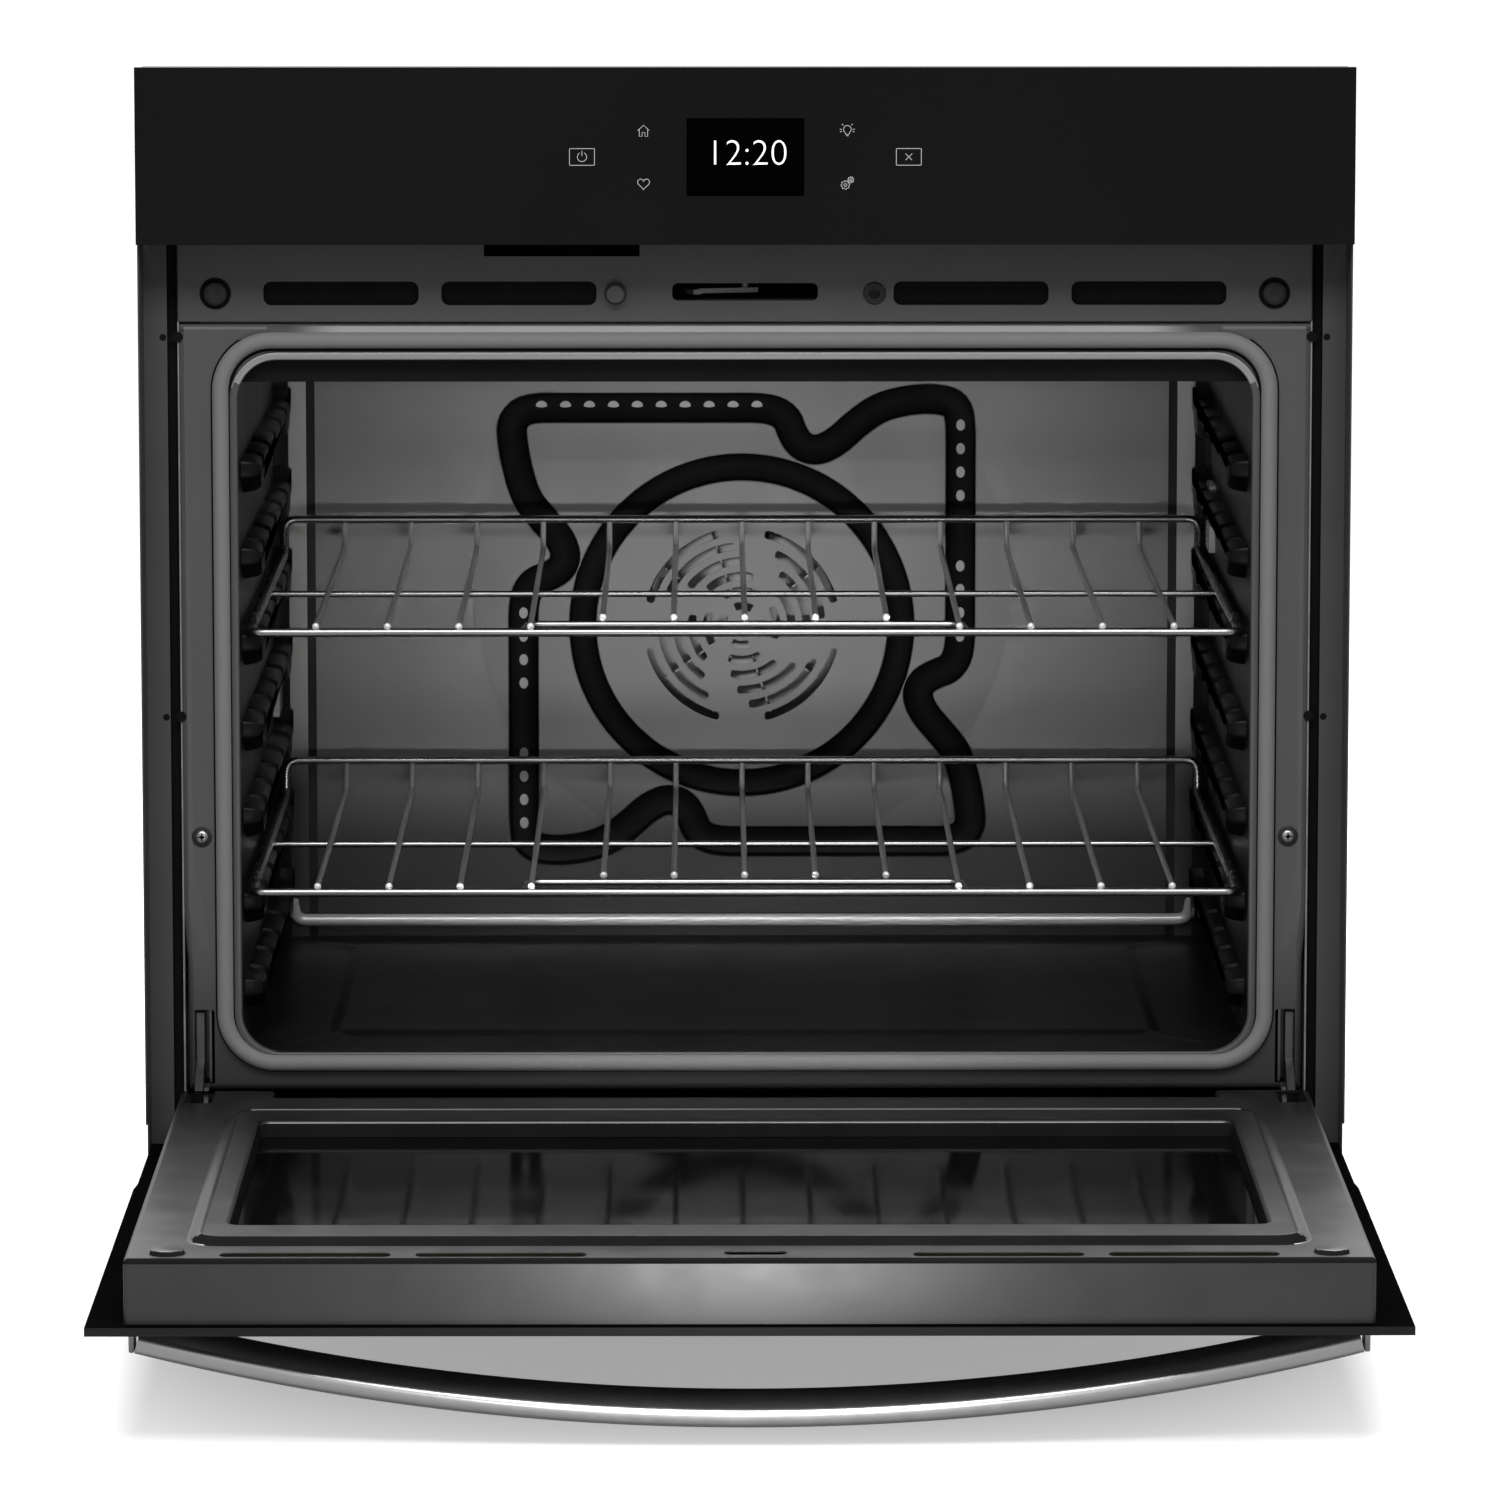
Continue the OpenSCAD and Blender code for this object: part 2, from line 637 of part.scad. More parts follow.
module lamp_sockets() color("white") placed() {
    lamp_socket(lamp_right);
    mirror([1, 0, 0]) lamp_socket(lamp_left);
}

module temperature_probe() color(steel) placed() {
    rod([probe_at[0], 476, probe_at[1]], [probe_at[0], 545, probe_at[1]], 5.4);
    upright(cavity_y - 1.2, 1.2) difference() {
        translate([probe_at[0] - 18, probe_at[1] - 9]) square([36, 18]);
        translate(probe_at) circle(2.7);
    }
}

// ---- latch and switch ----

latch_y = 72;
latch_rest = -75;
latch_reach = 40;

module latch_motor() color(dark_grey) placed() {
    difference() {
        block([-28, 58, 596], [28, 118, 624]);
        translate([0, latch_y, 590]) cylinder(h = 12, r = 3 + pin_play);
    }
    block([-60, inner_y, 574.5], [60, 118, 575.7]);
    both_sides() block([50, 58, 575.7], [51.2, 118, 625.2]);
    block([-50, 58, 624], [50, 118, 625.2]);
}

module latch_hook() color(steel) placed() translate([0, latch_y, 0]) rotate(latch_rest) {
    translate([0, 0, 587]) linear_extrude(3) polygon([
        [-6, 7], [6, 7], [6, -5], [5, -latch_reach + 7], [13, -latch_reach + 8],
        [13, -latch_reach + 3], [6, -latch_reach], [-4, -latch_reach], [-6, -5]
    ]);
    translate([0, 0, 590]) cylinder(h = 11, r = 3);
}

plunger_r = 5.4;

module door_switch_body() color(black) placed() difference() {
    union() {
        block([-switch_x - 11, inner_y + 0.5, fitting_z - 10], [-switch_x + 11, 84, fitting_z + 10]);
        translate([-switch_x, frame_y - 1, fitting_z]) rotate([-90, 0, 0]) cylinder(h = 4, r = 7);
    }
    translate([-switch_x, frame_y - 4, fitting_z])
        rotate([-90, 0, 0]) cylinder(h = 30, r = plunger_r + pin_play);
}

module door_switch_plunger() color([0.35, 0.35, 0.35]) placed()
    translate([-switch_x, 44, fitting_z]) rotate([-90, 0, 0]) cylinder(h = 26, r = plunger_r);

// Two rubber door bumpers, a socket and the two screws that hold the hinge receivers.
module frame_fittings() color(black) placed() {
    both_sides() {
        translate([bumper_x, frame_y - 5, fitting_z]) rotate([-90, 0, 0]) cylinder(h = 5, r = 9.6);
        translate([bumper_x, frame_y, fitting_z]) rotate([-90, 0, 0]) cylinder(h = 6, r = 5.8);
        translate([hinge_x, frame_y - 1.5, frame_screw_z]) rotate([-90, 0, 0]) cylinder(h = 1.5, r = 6.4);
        translate([hinge_x, frame_y - 3.5, frame_screw_z]) rotate([-90, 0, 0]) cylinder(h = 11, r = 2.4);
        translate([hinge_x, frame_y - 3.5, frame_screw_z]) rotate([-90, 0, 0]) cylinder(h = 2, r = 4.6);
    }
    translate([switch_x, frame_y - 1.5, fitting_z]) rotate([-90, 0, 0]) difference() {
        cylinder(h = 20, r = 7);
        translate([0, 0, -1]) cylinder(h = 14, r = 3.6);
    }
}

// ---- hinges ----

// A fixed arm hooks into the chassis and carries the hinge axis in front of the frame.
module hinge_arm() {
    sideways(arm_x - arm_t / 2, arm_t) difference() {
        union() {
            translate([axis_y, axis_z]) circle(8);
            polygon([
                [axis_y - 2, axis_z + 7.6], [axis_y + 4, axis_z - 6.8], [57, 70], [76, 80],
                [76, 118], [70, 124], [58, 126], [58, 96], [50, 92]
            ]);
        }
        translate([axis_y, axis_z]) circle(pin_r + pin_play);
    }
    translate([rod_x - 2.2, axis_y + cam_at[0], axis_z + cam_at[1]]) rotate([0, 90, 0])
        cylinder(h = arm_x - rod_x, r = cam_r);
    sideways(arm_x - 7.5, 1.5) polygon([[inner_y + 0.2, 82], [86, 82], [86, 134], [inner_y + 0.2, 134]]);
    block([arm_x - 6, 77, 80], [half_chassis - sheet - 0.2, 86, 130]);
}

module hinge_arms() color(steel) placed() both_sides() hinge_arm();

// A channel inside the door that turns on the pin and guides the spring rod.
module hinge_channel() {
    for (x = [hinge_x - 9, hinge_x + 7]) sideways(x, ear_t) difference() {
        union() {
            translate([axis_y, axis_z]) circle(8.5);
            translate([axis_y - 8.5, axis_z]) square([17, 40]);
            translate([axis_y - 16, axis_z + 40]) square([30, 230]);
        }
        translate([axis_y, axis_z]) circle(pin_r);
    }
    block([hinge_x - 7, axis_y - 16, axis_z + 60], [hinge_x + 7, axis_y - 14, axis_z + 270]);
    difference() {
        block([hinge_x - 7, axis_y - 10, axis_z + 190], [hinge_x + 7, axis_y + 14, axis_z + 194]);
        translate([rod_x, axis_y, axis_z + 180]) cylinder(h = 30, r = 2.5);
    }
}

module hinge_channels() color(steel) placed() opened() both_sides() hinge_channel();

// A stub in each side of the channel, so that the spring rod passes between them.
module hinge_pins() color(steel) placed() both_sides()
    for (ends = [[-10, -4.8], [-0.6, 10]])
        translate([hinge_x + ends[0], axis_y, axis_z])
            rotate([0, 90, 0]) cylinder(h = ends[1] - ends[0], r = pin_r);

// The rod is pulled by the pin on the fixed arm as the door turns, and squeezes the spring.
// Its offset along the door is that of the pin at the open stop.
rod_start = -cam_at[0];

module spring_rod(side) color(steel) placed() on_side(side) opened() {
    sideways(rod_x - 1.4, 2.8) difference() {
        union() {
            translate([axis_y - 3, axis_z + rod_start + 22]) square([8, 20]);
            polygon([
                [axis_y + cam_at[1] - 6.5, axis_z + rod_start - 6],
                [axis_y + cam_at[1] + 10.6, axis_z + rod_start - 6],
                [axis_y + cam_at[1] + 10.6, axis_z + rod_start + 6.5],
                [axis_y + 5, axis_z + rod_start + 22.5],
                [axis_y - 3, axis_z + rod_start + 22.5], [axis_y + cam_at[1] - 6.5, axis_z + rod_start + 6]
            ]);
        }
        translate([axis_y + cam_at[1] - 1, axis_z + rod_start - cam_r - cam_play])
            square([6.4, 2 * (cam_r + cam_play)]);
        for (across = [-1, 5.4]) translate([axis_y + cam_at[1] + across, axis_z + rod_start])
            circle(cam_r + cam_play);
    }
    translate([rod_x, axis_y, axis_z + rod_start + 38]) cylinder(h = 200, r = 1.9);
    translate([rod_x, axis_y, axis_z + rod_start + 64]) cylinder(h = 3, r = 4);
}

module spring_rod_left() spring_rod(-1);
module spring_rod_right() spring_rod(1);

module hinge_springs() color(steel) placed() opened() both_sides()
    for (i = [0:17]) translate([rod_x, axis_y, axis_z + 83 + 6 * i])
        rotate_extrude() translate([3.1, 0]) circle(d = 1.6);

// ---- door, drawn closed ----

module door_glass_outer() color(black) placed() opened() difference() {
    upright(0, glass_t) polygon([
        [-narrow_half, door_low_z], [narrow_half, door_low_z], [narrow_half, 180], [half_front, 196],
        [half_front, door_high_z], [-half_front, door_high_z], [-half_front, 196], [-narrow_half, 180]
    ]);
    for (s = [-1, 1]) translate([s * 349, -1, handle_z]) rotate([-90, 0, 0]) cylinder(h = 8, r = 3.2);
}

module liner_2d(inset) {
    translate([-liner_half + inset, liner_low_z + inset])
        square([2 * (liner_half - inset), liner_top_z - liner_low_z - 2 * inset]);
    for (s = [-1, 1]) translate([s > 0 ? liner_tab_x + inset : -liner_half + inset, liner_tab_z + inset])
        square([liner_half - liner_tab_x - 2 * inset, 60]);
}

module door_liner() color(dark_grey) placed() opened() difference() {
    union() {
        difference() {
            upright(glass_t + 0.3, door_back_y - glass_t - 0.3) liner_2d(0);
            upright(0, door_back_y - liner_t) liner_2d(liner_t);
            upright(door_back_y - 4, 8)
                outline(ridge[0] - liner_t, ridge[1] + liner_t, ridge[2] - liner_t, 18);
        }
        upright(door_back_y - liner_t, ridge_h + liner_t) difference() {
            outline(ridge[0], ridge[1], ridge[2], 19);
            outline(ridge[0] - liner_t, ridge[1] + liner_t, ridge[2] - liner_t, 18);
        }
        upright(door_back_y + ridge_h - liner_t, liner_t)
            outline(ridge[0] - liner_t, ridge[1] + liner_t, ridge[2] - liner_t, 18);
        upright(37.3, door_back_y + ridge_h - 37.3)
            outline(window[0] + liner_t, window[1] - liner_t, window[2] + liner_t, 9);
        both_sides() translate([bumper_x, door_back_y - 0.5, door_slot_z - 2]) rotate([-90, 0, 0])
            cylinder(h = 3, r = 10.8);
    }
    upright(30, 30) outline(window[0], window[1], window[2], 8);
    upright(door_back_y - 5, 8) {
        vent_slots_2d(door_slot_z, door_slot_h);
        slot_2d(3.3, door_slot_z - 2, 36, door_slot_h);
        for (s = [-1, 1]) translate([s * hinge_x - 10.4, liner_tab_z - 1]) square([20.8, 50]);
    }
    upright(0, door_back_y - liner_t) for (s = [-1, 1])
        translate([s * hinge_x - 10.4, liner_tab_z - 1]) square([20.8, 20]);
}

module door_pane(y, t, grow) color([0.2, 0.25, 0.25, 0.5]) placed() opened()
    upright(y, t) outline(window[0] + grow, window[1] - grow, window[2] + grow, 4);

module door_glass_inner() door_pane(33.2, 4, 14);
module door_glass_middle() door_pane(20, 4, 14);

module glass_retainer() color(steel) placed() opened() {
    upright(24.2, 8.8) difference() {
        outline(window[0] + 13, window[1] - 13, window[2] + 13, 4);
        outline(window[0] + 3, window[1] - 3, window[2] + 3, 4);
    }
    upright(glass_t + 0.3, 14.5) difference() {
        outline(window[0] + 13, window[1] - 13, window[2] + 13, 4);
        outline(window[0] + 3, window[1] - 3, window[2] + 3, 4);
    }
}

module door_insulation() color("wheat") placed() opened() upright(8, 32) {
    difference() {
        translate([-330, 100]) square([660, 480]);
        outline(window[0] + 15, window[1] - 15, window[2] + 15, 5);
    }
}

// ---- handle ----

bow_y = -(end_reach + bow_r - sqrt(bow_r * bow_r - handle_len * handle_len / 4)) + bow_r;
bow_half_angle = asin(handle_len / 2 / bow_r);

// Corner circles of the bar's section: distance from its inner face, height and radius. It is cut
// back on the side of the glass, which leaves room for the fingers.
bar_corners = [
    [bar_r, bar_r - bar_h / 2, bar_r],
    [bar_t - bar_r, bar_r - bar_h / 2, bar_r],
    [bar_t - bar_r / 2, bar_h / 2 - bar_r / 2, bar_r / 2],
    [bar_t - bar_flat, bar_h / 2 - bar_r, bar_r],
    [4, -3.5, 4]];

module bar_profile() translate([bow_r - bar_t, 0]) hull()
    for (c = bar_corners) translate([c[0], c[1]]) circle(c[2]);

module handle_bar() color(steel) placed() opened() difference() {
    translate([0, bow_y, handle_z]) rotate(270 - bow_half_angle)
        rotate_extrude(angle = 2 * bow_half_angle) bar_profile();
    block([-400, -0.3, handle_z - 40], [400, 60, handle_z + 40]);
    both_sides() block([340, -8, handle_z - 14], [400, 1, handle_z + 14]);
}

// A mounting foot under each end of the bar, with its screw through the glass.
module handle_ends() color(steel) placed() opened() both_sides() {
    block([340.2, -7.8, handle_z - bar_h / 2 + 1], [355.5, -0.2, handle_z + bar_h / 2 - 1]);
    block([355.5, 1 - end_reach, handle_z - bar_h / 2 + 1], [358, -0.2, handle_z + bar_h / 2 - 1]);
    translate([349, -0.3, handle_z]) rotate([-90, 0, 0]) cylinder(h = 15, r = 3);
    translate([349, glass_t + 6, handle_z]) rotate([-90, 0, 0]) cylinder(h = 4, r = 5);
}

// ---- racks ----

module rack(level) color(steel) placed() translate([0, 0, first_level_z + level * level_pitch]) {
    over = rail_d / 2 + wire_d / 2 - 0.3;
    bar_half = 140;
    bar_y = 109;
    rod([-rack_side_x - 2, rack_y, 0], [rack_side_x + 2, rack_y, 0], rail_d);
    for (s = [-1, 1]) {
        rod([s * rack_side_x, rack_y, 0], [s * rack_side_x, rack_bend_y - 5, 0], rail_d - 0.4);
        rod([s * rack_side_x, rack_bend_y - 6, 0], [s * rack_side_x, rack_bend_y, rack_rise], rail_d - 0.8);
        rod([s * bar_half, bar_y + 1.5, -0.6], [s * bar_half, rack_y, -0.6], 4.6);
    }
    rod([-rack_side_x - 2, rack_bend_y, rack_rise], [rack_side_x + 2, rack_bend_y, rack_rise], rail_d - 0.5);
    rod([-bar_half - 1.5, bar_y, -0.6], [bar_half + 1.5, bar_y, -0.6], 4.8);
    rod([-rack_side_x, 275, -0.8], [rack_side_x, 275, -0.8], 4.4);
    for (i = [-6:6]) {
        x = i * wire_pitch;
        rod([x, abs(i) < 3 ? bar_y - 1 : rack_y - 1, over], [x, rack_bend_y - 6, over], wire_d);
        rod([x, rack_bend_y - 6.5, over - 0.4], [x, rack_bend_y, rack_rise], wire_d);
    }
}

module upper_rack() rack(upper_level);
module lower_rack() rack(lower_level);

base_pan();
side_panel_left();
side_panel_right();
back_panel();
top_cover();
front_rail();
front_frame();
side_rail_left();
side_rail_right();
bottom_trim();
control_glass();
control_box();
display_module();
touch_board();
control_board();
blower_housing();
blower_impeller();
blower_motor();
air_duct();
cavity_flange();
cavity_left();
cavity_right();
cavity_ceiling();
cavity_floor();
cavity_back();
rack_guides_left();
rack_guides_right();
ceiling_deflector();
insulation();
door_gasket();
broil_element();
bake_element();
convection_element();
fan_chamber();
convection_fan();
convection_motor();
lamp_lenses();
lamp_sockets();
temperature_probe();
latch_motor();
latch_hook();
door_switch_body();
door_switch_plunger();
frame_fittings();
hinge_arms();
upper_rack();
lower_rack();
door_glass_outer();
door_liner();
door_glass_inner();
door_glass_middle();
glass_retainer();
door_insulation();
hinge_channels();
hinge_pins();
spring_rod_left();
spring_rod_right();
hinge_springs();
handle_bar();
handle_ends();
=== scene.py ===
"""Looks of the built-in wall oven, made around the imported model.

Shapes are drawn in millimetres, as on the oven's drawing: x across the front, y into the wall from
the control glass and z up from the lowest edge of the trim. row() turns that into the row frame.
Pieces of the door are drawn closed and swung() opens them about the hinge, as the model rests.
"""
from math import asin, copysign, cos, hypot, pi, radians, sin, sqrt, tan

import bmesh
import bpy
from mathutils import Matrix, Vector
from mathutils.geometry import delaunay_2d_cdt


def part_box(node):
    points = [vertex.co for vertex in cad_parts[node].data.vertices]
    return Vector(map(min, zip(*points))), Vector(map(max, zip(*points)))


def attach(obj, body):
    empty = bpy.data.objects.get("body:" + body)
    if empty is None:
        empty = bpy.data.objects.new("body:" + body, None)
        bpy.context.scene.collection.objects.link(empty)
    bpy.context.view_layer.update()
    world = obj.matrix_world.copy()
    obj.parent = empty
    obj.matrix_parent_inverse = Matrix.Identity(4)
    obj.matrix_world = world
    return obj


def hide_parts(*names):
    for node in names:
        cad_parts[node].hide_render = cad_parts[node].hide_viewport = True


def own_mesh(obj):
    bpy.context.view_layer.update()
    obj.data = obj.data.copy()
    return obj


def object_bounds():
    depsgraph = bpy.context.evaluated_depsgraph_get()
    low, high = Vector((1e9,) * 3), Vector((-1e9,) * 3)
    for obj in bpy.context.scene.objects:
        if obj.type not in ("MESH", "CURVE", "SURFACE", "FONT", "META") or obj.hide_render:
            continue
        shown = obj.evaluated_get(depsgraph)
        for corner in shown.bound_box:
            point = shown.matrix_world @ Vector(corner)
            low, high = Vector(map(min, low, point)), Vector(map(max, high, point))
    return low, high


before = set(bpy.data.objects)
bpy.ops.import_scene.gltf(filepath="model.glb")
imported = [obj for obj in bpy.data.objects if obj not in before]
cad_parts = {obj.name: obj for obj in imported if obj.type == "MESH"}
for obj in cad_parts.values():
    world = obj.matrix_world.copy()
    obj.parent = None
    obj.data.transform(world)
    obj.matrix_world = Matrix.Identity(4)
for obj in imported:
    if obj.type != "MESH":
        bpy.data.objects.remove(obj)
cad_low, cad_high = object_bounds()

# Where the row's origin lies on the drawing, in millimetres.
CABINET_Y = 50.0
SCREW_MID_Z = 439.0


def row(x, y, z):
    """A drawing point in the row frame, in metres."""
    return Vector((x / 1000, (y - CABINET_Y) / 1000, (z - SCREW_MID_Z) / 1000))


def drawn(node):
    """Lowest and highest corner of a CAD node, in millimetres on the drawing."""
    low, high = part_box(node)
    shift = Vector((0, CABINET_Y, SCREW_MID_Z))
    return Vector(low) * 1000 + shift, Vector(high) * 1000 + shift


PIN_LOW, PIN_HIGH = drawn("hinge_pins")
AXIS_Y = (PIN_LOW.y + PIN_HIGH.y) / 2
AXIS_Z = (PIN_LOW.z + PIN_HIGH.z) / 2


def swung(x, y, z):
    """A point of the closed door, in the row frame at the open stop."""
    return row(x, AXIS_Y - (z - AXIS_Z), AXIS_Z + (y - AXIS_Y))


# ---- materials


def put(name, data):
    """A new object in the scene."""
    made = bpy.data.objects.new(name, data)
    bpy.context.scene.collection.objects.link(made)
    return made


def dial(node, **values):
    """Sets inputs of a node by their names, with _ for each space."""
    for key, value in values.items():
        node.inputs[key.replace("_", " ")].default_value = value
    return node


class Shader:
    """A node material under construction, with short calls for the nodes used here."""

    def __init__(self, name):
        self.material = bpy.data.materials.new(name)
        self.material.use_nodes = True
        self.tree = self.material.node_tree
        self.surface = self.tree.nodes["Principled BSDF"]
        self.place = self.node("ShaderNodeTexCoord").outputs["Object"]

    def node(self, kind, **settings):
        made = self.tree.nodes.new(kind)
        for key, value in settings.items():
            setattr(made, key, value)
        return made

    def link(self, source, target):
        self.tree.links.new(source, target)

    def pattern(self, kind, vector=None, **values):
        made = dial(self.node(kind), **values)
        self.link(vector or self.place, made.inputs["Vector"])
        return made

    def noise(self, scale, detail, vector=None):
        return self.pattern("ShaderNodeTexNoise", vector, Scale=scale, Detail=detail).outputs["Fac"]

    def ramp(self, factor, stops):
        made = self.node("ShaderNodeValToRGB")
        while len(made.color_ramp.elements) < len(stops):
            made.color_ramp.elements.new(0.5)
        for element, (at, value) in zip(made.color_ramp.elements, stops):
            element.position = at
            element.color = (*value, 1) if isinstance(value, tuple) else (value, value, value, 1)
        self.link(factor, made.inputs["Fac"])
        return made.outputs["Color"]

    def span(self, factor, low, high):
        made = dial(self.node("ShaderNodeMapRange"), To_Min=low, To_Max=high)
        self.link(factor, made.inputs["Value"])
        return made.outputs["Result"]

    def bump(self, height, strength, distance):
        made = dial(self.node("ShaderNodeBump"), Strength=strength, Distance=distance)
        self.link(height, made.inputs["Height"])
        self.link(made.outputs["Normal"], self.surface.inputs["Normal"])

    def fixed(self, **values):
        dial(self.surface, **values)

    def paint(self, colour):
        self.link(colour, self.surface.inputs["Base Color"])

    def roughness(self, source):
        self.link(source, self.surface.inputs["Roughness"])


def mottled(name, dark, light, rough, metal, grain, bump, patch=14, specular=0.5):
    """Painted, enamelled or cast surface: faint patches of tone and a fine grain."""
    s = Shader(name)
    s.fixed(Metallic=metal, Specular_IOR_Level=specular)
    s.paint(s.ramp(s.noise(patch, 4), [(0.3, dark), (0.7, light)]))
    s.roughness(s.span(s.noise(grain / 6, 2), rough * 0.85, rough * 1.15))
    s.bump(s.noise(grain, 2), bump, 0.0002)
    return s.material


def painted_shade_fading(name, dark, light, rough, axis, dim_at, full_at, dimmed, metal=0, specular=0.5):
    """Enamel or paint with painted shade, which grows darker with its distance from the row's origin:
    dimmed at dim_at metres along the axis, to either side, and full at full_at."""
    s = Shader(name)
    s.fixed(Metallic=metal, Specular_IOR_Level=specular)
    split = s.node("ShaderNodeSeparateXYZ")
    away = s.node("ShaderNodeMath", operation="ABSOLUTE")
    fade = s.node("ShaderNodeMapRange", interpolation_type="SMOOTHSTEP")
    dial(fade, From_Min=dim_at, From_Max=full_at, To_Min=dimmed, To_Max=1.0)
    s.link(s.place, split.inputs[0])
    s.link(split.outputs[axis], away.inputs[0])
    s.link(away.outputs[0], fade.inputs["Value"])
    tone = s.node("ShaderNodeVectorMath", operation="SCALE")
    s.link(s.ramp(s.noise(14, 4), [(0.3, dark), (0.7, light)]), tone.inputs[0])
    s.link(fade.outputs["Result"], tone.inputs["Scale"])
    s.paint(tone.outputs[0])
    s.roughness(s.span(s.noise(30, 2), rough * 0.85, rough * 1.15))
    s.bump(s.noise(150, 2), 0.02, 0.0002)
    return s.material


def brushed(name, dark, light, rough, along, bump=0.1):
    """Brushed or rolled metal, with fine lines that run along one axis."""
    s = Shader(name)
    s.fixed(Metallic=1.0)
    scale = [12 if axis == along else 1400 for axis in "xyz"]
    lines = s.noise(1.0, 4, s.pattern("ShaderNodeMapping", Scale=scale).outputs["Vector"])
    s.paint(s.ramp(lines, [(0.3, dark), (0.7, light)]))
    s.roughness(s.span(lines, rough * 0.75, rough * 1.25))
    s.bump(lines, bump, 0.0001)
    return s.material


def spangled(name):
    """Galvanised sheet, with the faint crystal pattern of hot-dip zinc."""
    s = Shader(name)
    s.fixed(Metallic=0.9)
    crystals = s.pattern("ShaderNodeTexVoronoi", Scale=55).outputs["Color"]
    s.paint(s.ramp(crystals, [(0.2, 0.32), (0.8, 0.41)]))
    s.roughness(s.span(s.noise(30, 4), 0.52, 0.62))
    s.bump(s.noise(250, 3), 0.08, 0.0002)
    return s.material


def woven(name, dark, light, pitch):
    """Braided glass-fibre tube: crossing strands at a fine pitch."""
    s = Shader(name)
    s.fixed(Sheen_Weight=0.25)
    weave = s.node("ShaderNodeMath", operation="MULTIPLY")
    for direction, target in zip(("X", "DIAGONAL"), weave.inputs):
        wave = s.pattern("ShaderNodeTexWave", Scale=pitch, Distortion=1.5)
        wave.bands_direction = direction
        s.link(wave.outputs["Fac"], target)
    s.paint(s.ramp(weave.outputs[0], [(0.0, dark), (0.8, light)]))
    s.roughness(s.span(s.noise(400, 2), 0.6, 0.8))
    s.bump(weave.outputs[0], 0.35, 0.0004)
    return s.material


def smoked_glass(name, tone, rough, shine=0.5):
    """Back-painted or smoked glass, with the faintest smears in its polish."""
    s = Shader(name)
    s.fixed(IOR=1.5, Specular_IOR_Level=shine)
    s.paint(s.ramp(s.noise(5, 3), [(0.3, tone * 0.85), (0.7, tone * 1.15)]))
    s.roughness(s.span(s.noise(18, 5), rough * 0.6, rough * 1.6))
    return s.material


def glowing(name, colour, strength):
    """A lit print, which gives off its own colour."""
    s = Shader(name)
    s.fixed(Roughness=0.4, Emission_Strength=strength)
    tone = s.ramp(s.noise(40, 2), [(0.0, tuple(c * 0.96 for c in colour)), (1.0, colour)])
    s.paint(tone)
    s.link(tone, s.surface.inputs["Emission Color"])
    return s.material


# name, darkest and lightest tone, roughness, metal, grain, bump, patches, specular level
MOTTLED = {
    "painted_steel": ("satin_grey_paint", 0.088, 0.098, 0.45, 0, 1500, 0.06),
    "rail_paint": ("satin_rail_paint", 0.068, 0.076, 0.45, 0, 1500, 0.06),
    "dark_paint": ("dark_side_paint", 0.052, 0.060, 0.5, 0, 1500, 0.06),
    # Painted shade: near-black for gaps, recesses and the backs of slots, where only shade falls.
    "shade": ("shaded_steel", 0.004, 0.006, 0.7, 0, 900, 0.05, 14, 0.1),
    # Painted shade: a darker copy of the door liner's paint, for its end.
    "liner_end_shade": ("door_end_shaded_paint", 0.11, 0.125, 0.37, 0.95, 300, 0.01),
    # Painted shade: a near-black copy of the door liner's paint, for its shaded slopes and walls.
    "liner_shade": ("door_shaded_paint", 0.012, 0.016, 0.5, 0, 300, 0.01, 14, 0.0),
    "enamel": ("porcelain_enamel", 0.006, 0.009, 0.34, 0, 120, 0.02, 14, 0.12),
    # Painted shade: near-black for the rear wall's grooves and the screws' cross recesses.
    "painted_recess_shade": ("painted_recess_shade", 0.0015, 0.0025, 0.5, 0, 300, 0.05, 14, 0.15),
    # Painted light: the lit insides of the rear wall's air holes, which are not cut.
    "hole_glint": ("lit_hole", 0.16, 0.20, 0.5, 0, 300, 0.05),
    # Painted highlight: a light copy of the lip's enamel, for its top and for the door ridge's near
    # crest.
    "lip_highlight_enamel": ("lip_highlight_enamel", 0.34, 0.38, 0.38, 0.3, 300, 0.01, 4),
    # Painted shade: a dark copy of the lip's enamel, for its sides and bottom.
    "lip_painted_shade": ("lip_shade_enamel", 0.075, 0.09, 0.34, 0, 300, 0.01, 4),
    "roll_enamel": ("floor_roll_enamel", 0.55, 0.62, 0.30, 0.4, 300, 0.01, 4),
    "fan_metal": ("aluminised_fan", 0.19, 0.23, 0.45, 0.3, 400, 0.1),
    "handle_steel": ("satin_handle_steel", 0.66, 0.70, 0.30, 1, 900, 0.0, 3),
    "cross_wire": ("chromed_cross_wire", 0.30, 0.36, 0.30, 0.55, 900, 0.03),
    "bright_end": ("bright_wire_end", 0.80, 0.88, 0.35, 0.3, 900, 0.03),
    "rubber": ("black_rubber", 0.008, 0.012, 0.62, 0, 700, 0.3),
    "plastic_black": ("black_plastic", 0.012, 0.016, 0.45, 0, 1200, 0.2),
    "plastic_grey": ("grey_plastic", 0.060, 0.068, 0.45, 0, 1200, 0.1),
    "cap_grey": ("cast_end_cap", 0.42, 0.48, 0.35, 0.9, 900, 0.1),
    "board": ("printed_board", (0.01, 0.06, 0.025), (0.015, 0.085, 0.035), 0.4, 0, 600, 0.15),
    "wool": ("fibre_blanket", (0.5, 0.42, 0.24), (0.62, 0.54, 0.33), 0.95, 0, 260, 0.8),
    "element": ("element_sheath", 0.045, 0.06, 0.5, 0.6, 400, 0.2),
    "ceramic": ("glazed_ceramic", (0.62, 0.61, 0.57), (0.7, 0.69, 0.65), 0.25, 0, 300, 0.05),
}
